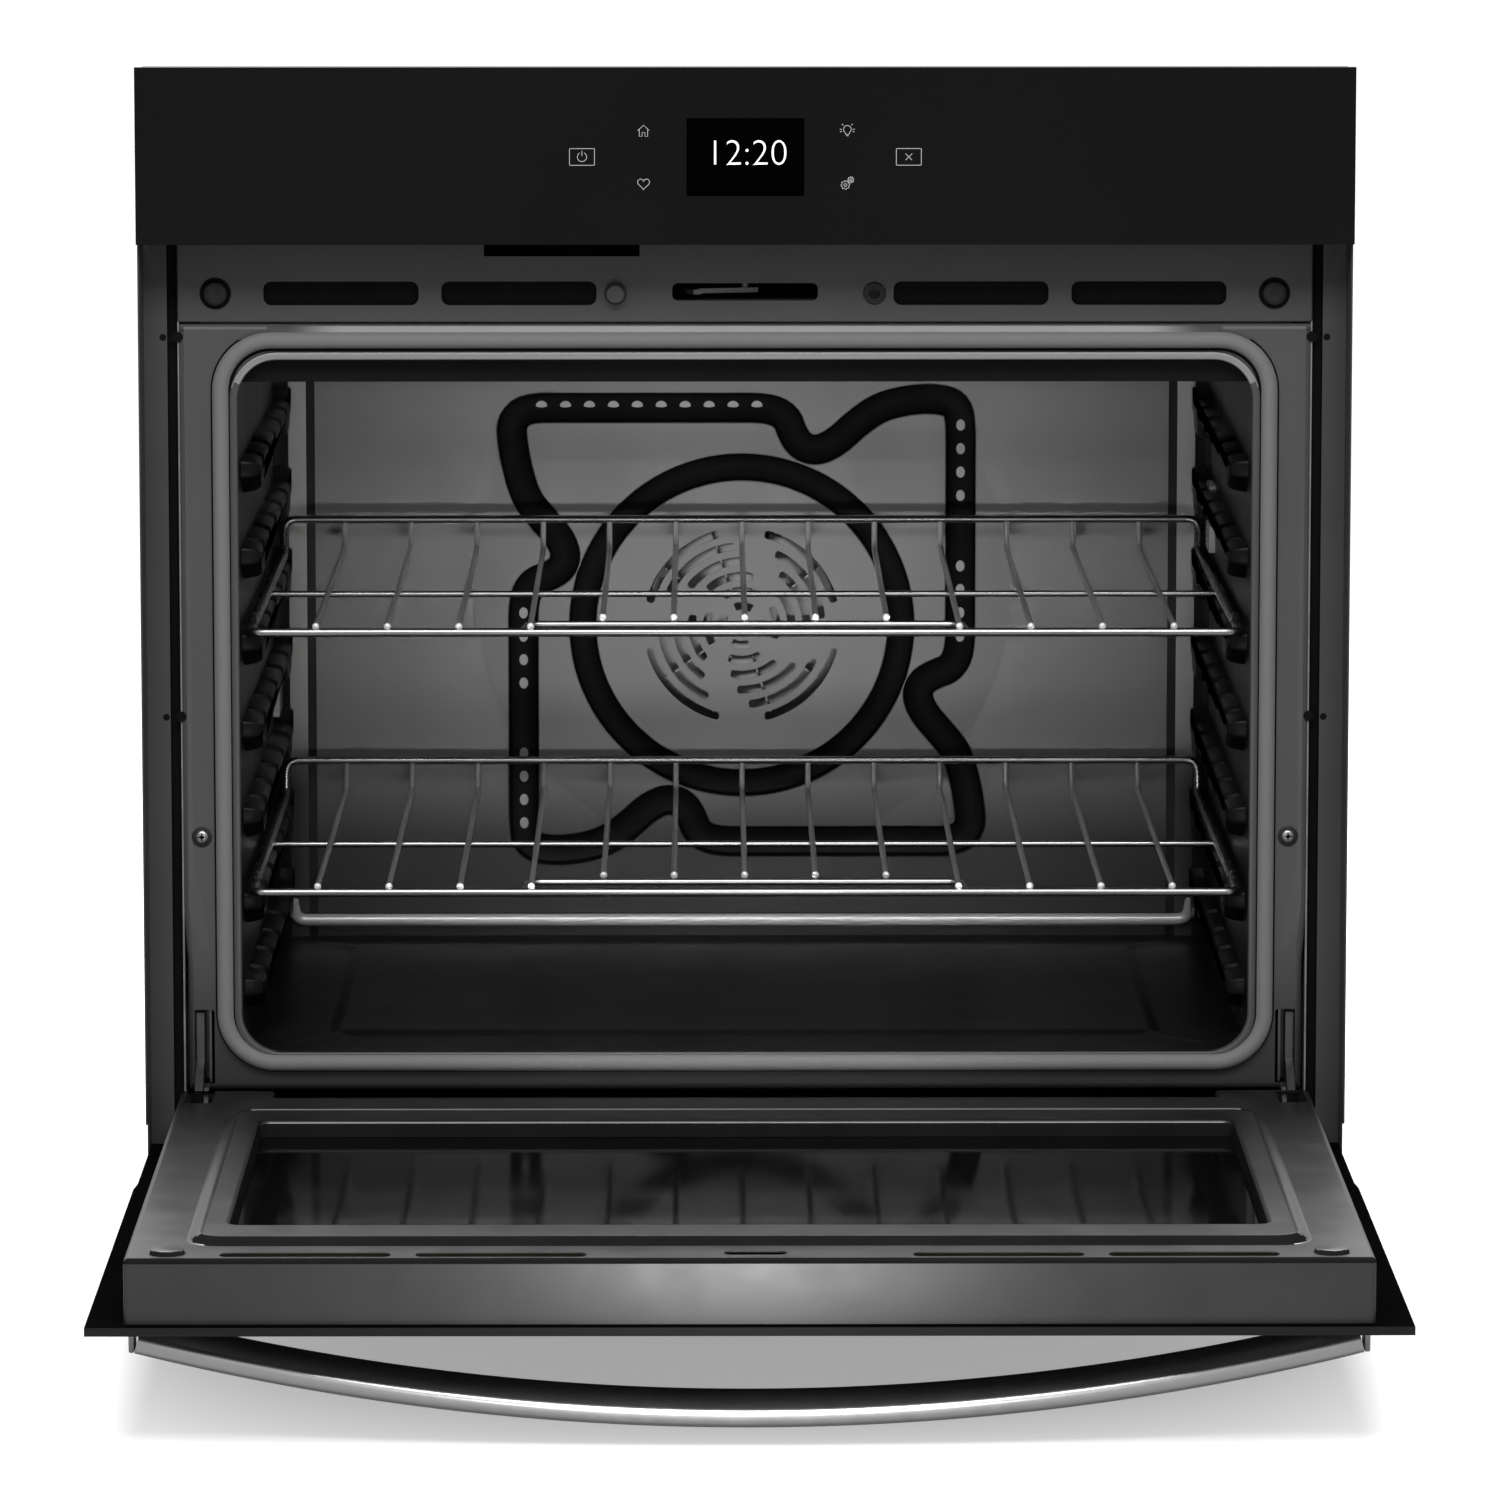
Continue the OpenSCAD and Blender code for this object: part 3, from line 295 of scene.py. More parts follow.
# name, darkest and lightest tone, roughness, axis, dim and full distance, dimmed, metal, specular
PAINTED_SHADE_FADES = {
    # Painted shade and light: frame, rear wall and corner band darker towards the bottom, liner darker
    # towards the hinge, bevel highlight fading at its ends.
    "frame_paint": ("frame_paint", 0.088, 0.098, 0.45, "Z", 0.352, 0.25, 0.38),
    "liner_paint": ("door_liner_paint", 0.23, 0.27, 0.34, "Y", 0.03, 0.44, 0.20, 0.95),
    "rear_enamel": ("rear_wall_enamel", 0.10, 0.112, 0.42, "Z", 0.275, 0.20, 0.18),
    "bevel_highlight": ("frame_bevel_highlight", 0.36, 0.42, 0.5, "X", 0.292, 0.252, 0.22, 0, 0.15),
    "corner_painted_light": ("corner_painted_light", 0.19, 0.22, 0.4, "Z", 0.24, 0.18, 0.10),
}
MATERIALS = {
    **{key: mottled(*entry) for key, entry in MOTTLED.items()},
    **{key: painted_shade_fading(*entry) for key, entry in PAINTED_SHADE_FADES.items()},
    "galvanised": spangled("galvanised_sheet"),
    "zinc": brushed("zinc_plate", 0.30, 0.40, 0.38, "z"),
    "stainless": brushed("brushed_stainless", 0.50, 0.60, 0.24, "x"),
    "chrome_wire": brushed("chromed_wire", 0.46, 0.52, 0.27, "x", bump=0.02),
    "hinge_steel": brushed("hinge_steel", 0.16, 0.22, 0.36, "z"),
    "seal": woven("braided_seal", 0.19, 0.29, 420),
    "black_glass": smoked_glass("black_glass", 0.0065, 0.06),
    "frit": smoked_glass("black_frit", 0.003, 0.5, 0.0),
    "pane": smoked_glass("door_pane", 0.004, 0.06, 0.22),
    "lens": smoked_glass("lamp_lens", 0.26, 0.2),
    "screen": smoked_glass("screen_glass", 0.0004, 0.10, 0.05),
    "digits": glowing("lit_digits", (0.9, 0.9, 0.9), 1.0),
    "icons": glowing("lit_icons", (0.45, 0.45, 0.45), 0.6),
}

# ---- mesh helpers


def bearings(count):
    """Evenly spaced angles, once round."""
    return [2 * pi * k / count for k in range(count)]


def eased(t):
    """Goes from 0 to 1 with t, level at both ends."""
    t = max(0.0, min(1.0, t))
    return t * t * (3 - 2 * t)


def unit(x, y):
    size = hypot(x, y)
    return x / size, y / size


def moved(outline, d):
    """A closed outline shifted sideways by d (outwards for one drawn anticlockwise)."""
    out = []
    for i, (x, y) in enumerate(outline):
        before, after = outline[i - 1], outline[(i + 1) % len(outline)]
        u = unit(x - before[0], y - before[1])
        w = unit(after[0] - x, after[1] - y)
        m = unit(u[1] + w[1], -u[0] - w[0])
        reach = d / max(m[0] * w[1] - m[1] * w[0], 0.2)
        out.append((x + m[0] * reach, y + m[1] * reach))
    return out


def filleted(points, radius, steps=6, closed=True):
    """Points of a path in any number of dimensions with each corner rounded to radius."""
    out = []
    count = len(points)
    for i in range(count):
        here = Vector(points[i])
        if not closed and i in (0, count - 1):
            out.append(tuple(here))
            continue
        a = Vector(points[i - 1]) - here
        b = Vector(points[(i + 1) % count]) - here
        angle = a.angle(b)
        if angle > pi - 0.01:
            out.append(tuple(here))
            continue
        cut = min(radius / tan(angle / 2), 0.49 * a.length, 0.49 * b.length)
        start, end = here + a.normalized() * cut, here + b.normalized() * cut
        for k in range(steps + 1):
            t = k / steps
            out.append(tuple((1 - t) ** 2 * start + 2 * t * (1 - t) * here + t * t * end))
    return out


def rect_loop(half, low, high, r, steps=8):
    """An anticlockwise rounded rectangle across and up."""
    loop = []
    for cx, cz, first in ((half - r, low + r, 270), (half - r, high - r, 0),
                          (-half + r, high - r, 90), (-half + r, low + r, 180)):
        for k in range(steps + 1):
            a = radians(first + 90 * k / steps)
            loop.append((cx + r * cos(a), cz + r * sin(a)))
    return loop


def slot_loop(mid, z, length, height, r, steps=6):
    return [(mid + x, y) for x, y in rect_loop(length / 2, z - height / 2, z + height / 2, r, steps)]


def circle_loop(cx, cz, r, count=24):
    return [(cx + r * cos(a), cz + r * sin(a)) for a in bearings(count)]


def within(point, loop):
    """Whether a point lies inside a closed outline."""
    x, y = point
    hit = False
    for i, (x1, y1) in enumerate(loop):
        x0, y0 = loop[i - 1]
        if (y0 > y) != (y1 > y) and x < (x1 - x0) * (y - y0) / (y1 - y0) + x0:
            hit = not hit
    return hit


class Sheet:
    """Collects faces, then becomes one piece that rides on a body."""

    def __init__(self):
        self.mesh = bmesh.new()
        self.slots = []

    def slot_of(self, material):
        if material not in self.slots:
            self.slots.append(material)
        return self.slots.index(material)

    def points(self, places):
        return [self.mesh.verts.new(p) for p in places]

    def face(self, corners, index=0, smooth=True):
        if len(set(corners)) == len(corners):
            try:
                made = self.mesh.faces.new(corners)
            except ValueError:
                return
            made.material_index = index
            made.smooth = smooth

    def loft(self, loops, material, around=True, along=False, caps=False):
        """Faces between rows of points; around closes each row and along closes the rows."""
        index = self.slot_of(material)
        rows = [self.points(loop) for loop in loops]
        pairs = list(zip(rows, rows[1:])) + ([(rows[-1], rows[0])] if along else [])
        for a, b in pairs:
            for i in range(len(a) if around else len(a) - 1):
                j = (i + 1) % len(a)
                self.face([a[i], a[j], b[j], b[i]], index)
        if caps:
            self.face(rows[0][::-1], index)
            self.face(rows[-1], index)

    def tube(self, path, radius, material, closed=False, sides=10):
        """A round wire along a path."""
        pts = [Vector(p) for p in path]
        count = len(pts)
        side = None
        loops = []
        for i, p in enumerate(pts):
            ahead = pts[(i + 1) % count] if closed or i + 1 < count else p
            behind = pts[i - 1] if closed or i > 0 else p
            along = (ahead - behind).normalized()
            if side is None:
                side = along.orthogonal().normalized()
            side = (side - along * side.dot(along)).normalized()
            up = along.cross(side)
            loops.append([p + side * radius * cos(a) + up * radius * sin(a)
                          for a in bearings(sides)])
        self.loft(loops, material, along=closed, caps=not closed)

    def area(self, outline, holes, material, place, extra=(), tone=None, curved=None):
        """A flat or shaped area with holes. place maps (across, up) to a point, extra holds
        inner loops that shape it, tone may choose a face's material, curved tells where to
        shade smoothly."""
        coords, edges = [], []
        for loop in [outline, *holes, *extra]:
            start = len(coords)
            coords += [Vector(p) for p in loop]
            edges += [(start + i, start + (i + 1) % len(loop)) for i in range(len(loop))]
        verts, _, faces, *_ = delaunay_2d_cdt(coords, edges, [], 0, 1e-6)
        boxes = []
        for hole in holes:
            xs, ys = zip(*hole)
            boxes.append((min(xs), max(xs), min(ys), max(ys), hole))
        made = self.points([place(v.x, v.y) for v in verts])
        for f in faces:
            mid = (sum(verts[i].x for i in f) / 3, sum(verts[i].y for i in f) / 3)
            if not within(mid, outline):
                continue
            if any(x0 < mid[0] < x1 and y0 < mid[1] < y1 and within(mid, hole)
                   for x0, x1, y0, y1, hole in boxes):
                continue
            name = (tone(*mid) if tone else None) or material
            self.face([made[i] for i in f], self.slot_of(name), bool(curved and curved(*mid)))

    def finish(self, name, replaces=(), sheet=0.0, outward=None, sharp=40, body="chassis"):
        """Merges, turns the faces outward and adds the sheet's thickness in millimetres."""
        bmesh.ops.remove_doubles(self.mesh, verts=self.mesh.verts, dist=2e-6)
        loose = [v for v in self.mesh.verts if not v.link_faces]
        bmesh.ops.delete(self.mesh, geom=loose, context="VERTS")
        bmesh.ops.recalc_face_normals(self.mesh, faces=self.mesh.faces)
        if outward is not None:
            facing = sum((f.normal.dot(Vector(outward)) * f.calc_area() for f in self.mesh.faces))
            if facing < 0:
                bmesh.ops.reverse_faces(self.mesh, faces=self.mesh.faces)
        for edge in self.mesh.edges:
            sides = edge.link_faces
            if len(sides) != 2 or (sides[0].smooth != sides[1].smooth
                                   or edge.calc_face_angle(0) > radians(sharp)):
                edge.smooth = False
        for face in self.mesh.faces:
            face.smooth = True
        data = bpy.data.meshes.new(name)
        self.mesh.to_mesh(data)
        self.mesh.free()
        for key in self.slots:
            data.materials.append(MATERIALS[key])
        made = put(name, data)
        if sheet:
            solid = made.modifiers.new("thickness", "SOLIDIFY")
            solid.thickness = sheet / 1000
            solid.offset = -1
        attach(made, body)
        if replaces:
            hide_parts(*replaces)
        return made


def add_edge_bevel(obj):
    """Takes the edges of a plain CAD node off by half a millimetre."""
    soft = obj.modifiers.new("edges", "BEVEL")
    soft.width = 0.0005
    soft.segments = 2
    soft.limit_method = "ANGLE"
    soft.angle_limit = radians(35)


def turned(sheet, profile, place, material, count):
    """A turned shape: profile holds (radius, height) pairs, place maps (a, b, height) to a point."""
    sheet.loft([[place(r * cos(a), r * sin(a), h) for a in bearings(count)]
                for r, h in profile], material)


# ---- camera and light

FOCAL_MM = 201.2
CAMERA_AT = (-25.4, -5233.0, 1028.3)
LOOK_ACROSS = 0.0054
LOOK_DOWN = 0.1385


def make_camera():
    data = bpy.data.cameras.new("camera")
    data.lens = FOCAL_MM
    data.sensor_width = 36
    data.clip_end = 100
    cam = put("camera", data)
    cam.location = row(*CAMERA_AT)
    aim = Vector((LOOK_ACROSS, 1, -LOOK_DOWN))
    cam.rotation_euler = aim.to_track_quat("-Z", "Y").to_euler()
    bpy.context.scene.camera = cam


def area_light(name, at, target, size, power, spread=180):
    data = bpy.data.lights.new(name, "AREA")
    data.shape = "RECTANGLE"
    data.size, data.size_y = size
    data.energy = power
    data.spread = radians(spread)
    lamp = put(name, data)
    lamp.location = row(*at)
    lamp.rotation_euler = (row(*target) - row(*at)).to_track_quat("-Z", "Y").to_euler()
    lamp.visible_camera = False
    return lamp


def make_world():
    """White to the eye, but a dimmer light on everything else."""
    world = bpy.data.worlds.new("studio")
    bpy.context.scene.world = world
    world.use_nodes = True
    tree = world.node_tree
    tree.nodes.clear()
    new, link = tree.nodes.new, tree.links.new
    mix = new("ShaderNodeMixShader")
    link(new("ShaderNodeLightPath").outputs["Is Camera Ray"], mix.inputs[0])
    for branch, strength in ((1, 0.42), (2, 1.0)):
        sky = dial(new("ShaderNodeBackground"), Color=(1, 1, 1, 1), Strength=strength)
        link(sky.outputs[0], mix.inputs[branch])
    link(mix.outputs[0], new("ShaderNodeOutputWorld").inputs[0])


def make_floor():
    """White to the eye, with its glow dimmed near the oven as painted shade round it, which leaves room
    for a soft shadow, but a dim grey in reflections.
    """
    s = Shader("pale_floor")
    s.fixed(Roughness=0.9, Emission_Color=(1, 1, 1, 1), Specular_IOR_Level=0)
    s.paint(s.ramp(s.noise(2, 3), [(0.3, 0.79), (0.7, 0.81)]))
    away = s.pattern("ShaderNodeTexGradient")
    away.gradient_type = "SPHERICAL"
    glow = s.ramp(away.outputs["Fac"], [(0.12, 0.78), (0.38, 0.36), (0.7, 0.31)])
    s.link(glow, s.surface.inputs["Emission Strength"])
    grey = dial(s.node("ShaderNodeBsdfDiffuse"), Color=(0.25, 0.25, 0.25, 1))
    path, mix = s.node("ShaderNodeLightPath"), s.node("ShaderNodeMixShader")
    s.link(path.outputs["Is Camera Ray"], mix.inputs[0])
    s.link(grey.outputs[0], mix.inputs[1])
    s.link(s.surface.outputs[0], mix.inputs[2])
    s.link(mix.outputs[0], s.tree.nodes["Material Output"].inputs["Surface"])
    half, low = 30, cad_low.z - 0.012
    corners = [(-half, -half, low), (half, -half, low), (half, half, low), (-half, half, low)]
    data = bpy.data.meshes.new("floor")
    data.from_pydata(corners, [], [(0, 1, 2, 3)])
    data.materials.append(s.material)
    put("floor", data)


make_camera()
make_world()
make_floor()
area_light("front_softbox", (0, -2500, 2600), (0, 0, 350), (2.4, 1.0), 62)
area_light("back_softbox", (0, 1400, 2700), (0, -450, 60), (2.6, 0.8), 130)
area_light("low_fill", (0, -1010, 70), (0, -545, 40), (0.2, 0.1), 0.8)
area_light("cavity_glow", (0, 250, 528), (0, 520, 498), (0.6, 0.05), 0.8).visible_glossy = False
area_light("door_bounce", (0, -420, 160), (0, 560, 340), (0.3, 0.06), 0.62, 40).visible_glossy = False

# ---- plain CAD nodes

NODE_LOOKS = {
    "galvanised": """base_pan side_panel_left side_panel_right back_panel top_cover blower_housing
                     blower_impeller air_duct glass_retainer""",
    "fan_metal": "fan_chamber convection_fan",
    "dark_paint": "side_rail_left side_rail_right bottom_trim",
    "painted_steel": "control_box",
    "black_glass": "control_glass door_glass_outer",
    "enamel": "cavity_left cavity_right cavity_ceiling ceiling_deflector",
    "pane": "door_glass_inner door_glass_middle",
    "plastic_black": "display_module door_switch_body",
    "board": "touch_board control_board",
    "zinc": "blower_motor convection_motor latch_motor",
    "hinge_steel": """latch_hook hinge_arms hinge_channels hinge_pins spring_rod_left
                      spring_rod_right hinge_springs""",
    "wool": "insulation door_insulation",
    "element": "broil_element bake_element convection_element",
    "lens": "lamp_lenses",
    "ceramic": "lamp_sockets",
    "stainless": "temperature_probe",
    "plastic_grey": "door_switch_plunger",
}
SOFT_EDGES = """control_glass door_glass_outer bottom_trim control_box ceiling_deflector hinge_arms
                door_switch_plunger"""

for look, nodes in NODE_LOOKS.items():
    for name in nodes.split():
        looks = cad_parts[name].data.materials
        looks.clear()
        looks.append(MATERIALS[look])
for name in SOFT_EDGES.split():
    add_edge_bevel(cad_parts[name])

# The rear of the outer door glass is printed black, which shines less than its front.
outer_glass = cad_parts["door_glass_outer"].data
outer_glass.materials.append(MATERIALS["frit"])
for face in outer_glass.polygons:
    if face.normal.z > 0.5:
        face.material_index = 1

# ---- front frame and rail

FRAME_LOW, FRAME_HIGH = drawn("front_frame")
RAIL_LOW, RAIL_HIGH = drawn("front_rail")
FLANGE_LOW, FLANGE_HIGH = drawn("cavity_flange")
FACE_Y = FRAME_LOW.y
HALF_CHASSIS = FRAME_HIGH.x
FRONT_HALF = drawn("control_glass")[1].x
SHEET = 1.2
FOLD_DEPTH = 12
VENTS = [s * mid for s in (-1, 1) for mid in (142.8, 255.2)]
VENT_LENGTH = 98
VENT_Z = 587.6
WIRE_NOTCH_X = -115.7
BUMPER_X = 334.5
SWITCH_X = 81.8
HINGE_X = 346
FRAME_SCREW_Z = 240.8
CABINET_SCREWS = [(s * 367.7, SCREW_MID_Z + dz) for s in (-1, 1) for dz in (-121, 121)]
OUTWARD = (0, -1, 0)


def rolled(sheet, outline, holes, face_y, roll, end_y, material, place):
    """A sheet-metal panel: a face with holes, edges rolled over and a wall back to end_y."""
    d = 1 if end_y > face_y else -1
    sheet.area(moved(outline, -roll), holes, material, lambda x, z: place(x, face_y, z))
    loops = []
    for k in range(6):
        a = pi / 2 * k / 5
        inset = moved(outline, -roll * (1 - sin(a)))
        loops.append([place(x, face_y + d * roll * (1 - cos(a)), z) for x, z in inset])
    loops.append([place(x, end_y, z) for x, z in outline])
    sheet.loft(loops, material)


def make_front_frame():
    sheet = Sheet()
    low, high, narrow = FRAME_LOW.z, FRAME_HIGH.z - 0.2, HALF_CHASSIS - 3
    outline = filleted([(-narrow, low), (narrow, low), (narrow, 160), (HALF_CHASSIS, 196),
                        (HALF_CHASSIS, high), (-HALF_CHASSIS, high), (-HALF_CHASSIS, 196),
                        (-narrow, 160)], 2.5, 3)
    holes = [rect_loop(FLANGE_HIGH.x + 0.3, FLANGE_LOW.z - 0.3, FLANGE_HIGH.z + 0.3, 30, 10)]
    for x in (-HINGE_X, HINGE_X):
        holes.append(slot_loop(x, 104.5, 14, 49, 2, 3))
        holes.append(circle_loop(x, FRAME_SCREW_Z, 2.6, 12))
    # The frame's paint carries painted shade, darker towards the bottom.
    rolled(sheet, outline, holes, FACE_Y, 4, FACE_Y + FOLD_DEPTH, "frame_paint", row)
    sheet.finish("front_frame_skin", ["front_frame"], SHEET, OUTWARD)
    # Painted shade: dark discs on the frame face where its edges are notched for the cabinet screws.
    notches = Sheet()
    for x, z in CABINET_SCREWS:
        edge = copysign(HALF_CHASSIS - 0.4, x)
        turned(notches, [(3.3, 0), (3.2, 0.25), (0.01, 0.25)],
               facing_front(edge, z, FACE_Y), "shade", 20)
    notches.finish("frame_edge_notches")
    # Painted highlight: a narrow bevel along the frame's top in a light paint that fades to about the
    # frame's tone at its ends.
    bevel = Sheet()
    top = FRAME_HIGH.z - 1.6
    section = ((0.05, 0), (0.9, 0.5), (3.5, 4.6), (0.05, 5.2))
    loops = [[row(x, FACE_Y - out * reach, top - down) for out, down in section]
             for x, reach in ((-302, 0.2), (-290, 1), (290, 1), (302, 0.2))]
    bevel.loft(loops, "bevel_highlight", around=False)
    bevel.finish("frame_top_bevel", outward=OUTWARD)


def make_front_rail():
    sheet = Sheet()
    outline = rect_loop(HALF_CHASSIS, RAIL_LOW.z + 0.4, RAIL_HIGH.z, 1.5, 3)
    holes = [slot_loop(mid, VENT_Z, VENT_LENGTH, 15, 5) for mid in VENTS]
    holes.append(slot_loop(0, 588.5, 92, 11, 3.5))
    holes.append(slot_loop(WIRE_NOTCH_X, 618.5, 98.3, 15, 1))
    holes += [circle_loop(x, VENT_Z, 7.2) for x in (-SWITCH_X, SWITCH_X)]
    rolled(sheet, outline, holes, FACE_Y, 1, FACE_Y + FOLD_DEPTH, "rail_paint", row)
    sheet.finish("front_rail_skin", ["front_rail"], SHEET, OUTWARD)


def facing_front(cx, cz, face_y):
    """Places a turned shape on a face that looks to the front, height towards the viewer."""
    return lambda a, b, h: row(cx + a, face_y - h, cz + b)


def cross_head_screw(sheet, cx, cz, face_y, r):
    """A pan head with a cross recess."""
    place = facing_front(cx, cz, face_y)
    turned(sheet, [(0.01, 0), (r, 0), (r, 0.5), (r * 0.94, 1.1), (r * 0.75, 1.7), (r * 0.45, 2.0),
                   (r * 0.3, 2.05)], place, "cap_grey", 20)
    # Painted shade in the cross recess.
    turned(sheet, [(r * 0.3, 2.05), (r * 0.22, 1.0), (0.01, 0.8)], place, "painted_recess_shade", 20)
    long, short = r * 0.62, 0.35
    for a, b in ((long, short), (short, long)):
        corners = [(-a, -b), (a, -b), (a, b), (-a, b)]
        sheet.loft([[place(x, y, h) for x, y in corners] for h in (1.4, 2.08)], "painted_recess_shade",
                   caps=True)


def make_fittings():
    sheet = Sheet()
    for s in (-1, 1):
        spot = facing_front(s * BUMPER_X, VENT_Z, FACE_Y)
        # Painted shade: a dark ring at the foot of each bumper.
        turned(sheet, [(9.9, 0), (9.9, 0.8), (9.5, 1.1), (7.9, 1.1), (7.6, 0.5)], spot, "shade", 32)
        turned(sheet, [(7.6, 0.5), (7.5, 4.2), (6.7, 4.9), (3.0, 5.0), (1.0, 4.6), (0.01, 4.5)],
               spot, "rubber", 32)
        turned(sheet, [(6.4, 0), (6.4, 0.9), (6.0, 1.2), (4.7, 1.2), (4.6, 0.3)],
               facing_front(s * HINGE_X, FRAME_SCREW_Z, FACE_Y), "rubber", 28)
        cross_head_screw(sheet, s * HINGE_X, FRAME_SCREW_Z, FACE_Y - 0.8, 4.4)
    turned(sheet, [(7, 0), (7, 0.9), (6.5, 1.4), (5.6, 1.4), (5.3, 0.6), (4.4, 0.6), (4.2, 1.2),
                   (3.6, 1.2), (3.5, -6), (0.01, -6)],
           facing_front(SWITCH_X, VENT_Z, FACE_Y), "plastic_black", 32)
    sheet.finish("frame_bumpers_and_screws", ["frame_fittings"], sharp=50)
    # Painted shade: a dark lining in the second switch hole.
    ring = Sheet()
    turned(ring, [(7.2, -3), (7.2, 0.5), (6.9, 0.8), (5.7, 0.8), (5.5, 0.4), (5.5, -3)],
           facing_front(-SWITCH_X, VENT_Z, FACE_Y), "shade", 32)
    ring.finish("switch_ring")


def make_hinge_pockets():
    """Receivers behind the hinge slots in painted shade, and painted shade for the cabinet in the screw
    holes.
    """
    sheet = Sheet()
    for x in (-HINGE_X, HINGE_X):
        rings = [[row(a, y, z) for a, z in slot_loop(x, 105, 17, 52, 1.5, 2)]
                 for y in (FACE_Y + 1.3, FACE_Y + 44)]
        sheet.loft(rings, "shade")
        sheet.face(sheet.points(rings[-1]), sheet.slot_of("shade"), False)
    for x, z in CABINET_SCREWS:
        turned(sheet, [(2.6, 0), (0.01, 0)], facing_front(x, z, 49.4), "shade", 16)
    sheet.finish("hinge_receivers")


def make_side_rail(side, hand):
    """A flat strip with a lip along its outer edge, and the recess next to the chassis in painted
    shade.
    """
    sheet = Sheet()
    low, step, high, inner, outer = 29, 62, 621.8, 365, FRONT_HALF - 0.1
    face, recess = 48.8, 60
    outline = [(inner, low), (outer, low), (outer, high), (inner, high)]
    holes = [circle_loop(x, z, 2.2, 20) for x, z in CABINET_SCREWS if x > 0]
    sheet.area(outline, holes, "dark_paint", lambda x, z: row(side * x, face, z))
    path = [(inner, face), (inner, recess), (HALF_CHASSIS - 0.5, recess)]
    sheet.loft([[row(side * x, y, z) for z in (low, high)] for x, y in path], "shade", around=False)
    lip = [(outer - 1.2, face), (outer - 1.2, 10.5), (outer - 1.0, 10.1), (outer - 0.6, 10),
           (outer - 0.3, 10.1), (outer, 10.5), (outer, face)]
    short_lip = [(outer - 1.2, face), (outer - 1.2, 27.5), (outer - 0.6, 27), (outer, 27.5),
                 (outer, face)]
    for section, ends in ((lip, (step, high)), (short_lip, (low, step))):
        sheet.loft([[row(side * x, y, z) for x, y in section] for z in ends], "dark_paint", caps=True)
    sheet.finish("side_strip_" + hand, ["side_rail_" + hand], outward=OUTWARD)


def make_rail_shade():
    """Painted shade: a dark plate behind the notch that the wires pass through, and dark plates behind
    the vent slots.
    """
    sheet = Sheet()
    sheet.area(slot_loop(WIRE_NOTCH_X, 622, 112, 34, 2), [], "shade",
               lambda x, z: row(x, FACE_Y + 18, z))
    for mid in VENTS:
        sheet.area(slot_loop(mid, VENT_Z, VENT_LENGTH + 8, 22, 5), [], "shade",
                   lambda x, z: row(x, FACE_Y + 4, z))
    sheet.finish("rail_slot_shade", outward=OUTWARD)


make_front_frame()
make_front_rail()
make_fittings()
make_hinge_pockets()
make_side_rail(-1, "left")
make_side_rail(1, "right")
make_rail_shade()

# ---- seal and cavity

SEAL = (331.8, 95.0, 558.2, 32.0)
SEAL_HEIGHT = 7.6


def ring_loops(profile, half, low, high, r):
    """One loop round the opening for each (outwards, forwards) point of a profile."""
    return [[row(x, FACE_Y - v, z) for x, z in rect_loop(half + u, low - u, high + u, r + u, 12)]
            for u, v in profile]


def make_seal():
    sheet = Sheet()
    profile = []
    for k in range(13):
        a = radians(-20 + 220 * k / 12)
        forwards = 2.9 + (SEAL_HEIGHT - 2.9) * max(sin(a), -0.6)
        profile.append((5.1 * cos(a), max(forwards, 0.1)))
    sheet.loft(ring_loops(profile, *SEAL), "seal", along=True)
    # Painted shade: dark rings on the frame face along both edges of the seal.
    edge_shade = Sheet()
    for near, far in ((5.0, 6.3), (-5.0, -7.2)):
        edge_shade.loft(ring_loops([(near, 0.12), (far, 0.12)], *SEAL), "shade")
    edge_shade.finish("seal_edge_shade", outward=OUTWARD)
    made = sheet.finish("door_seal", ["door_gasket"])
    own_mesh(made)


def make_cavity_lip():
    """The flange round the opening, with a painted highlight along its top and painted shade below."""
    sheet = Sheet()
    low, high = FLANGE_LOW.z + 5, FLANGE_HIGH.z - 5
    profile = [(5, -4), (5, 0.6), (4.7, 1.1), (4.1, 1.3), (1.0, 1.3), (0.4, 1.0), (0.1, 0.4),
               (0, -1), (0, -4)]
    sheet.loft(ring_loops(profile, FLANGE_HIGH.x - 5, low, high, 25), "lip_highlight_enamel")
    shade_index = sheet.slot_of("lip_painted_shade")
    made = sheet.finish("cavity_lip", ["cavity_flange"], outward=OUTWARD)
    top = row(0, 0, high - 16).z
    for face in made.data.polygons:
        if face.center.z < top:
            face.material_index = shade_index


BACK_Y = drawn("cavity_back")[0].y
FLOOR_LOW = drawn("cavity_floor")[0]
FAN_Z = sum(corner.z for corner in drawn("convection_fan")) / 2
WALL_LOW, WALL_HIGH = drawn("cavity_right")
CAVITY_HALF, CAVITY_LOW, CAVITY_HIGH = WALL_LOW.x, WALL_LOW.z, WALL_HIGH.z
RING_R = 110
CHANNEL_W = 19
CHANNEL_DEPTH = 5
SHOULDER = 3.2
HALF_PATH = [
    (-149, 151), (-120, 151), (-10, 151), (18, 151), (31, 145), (35, 133), (41, 124), (52, 121),
    (65, 127), (80, 141), (96, 152), (118, 157), (138, 157), (149, 152), (151, 137), (151, 110),
    (151, 10), (151, -18), (145, -30), (134, -34), (125, -39), (121, -48), (125, -60), (137, -74),
    (148, -87), (154, -105), (158, -126), (159, -141)]


def smoothed(points, times):
    """Cuts the corners of a closed outline again and again, which leaves a smooth curve."""
    for _ in range(times):
        out = []
        for i, a in enumerate(points):
            b = points[(i + 1) % len(points)]
            out.append((0.75 * a[0] + 0.25 * b[0], 0.75 * a[1] + 0.25 * b[1]))
            out.append((0.25 * a[0] + 0.75 * b[0], 0.25 * a[1] + 0.75 * b[1]))
        points = out
    return points


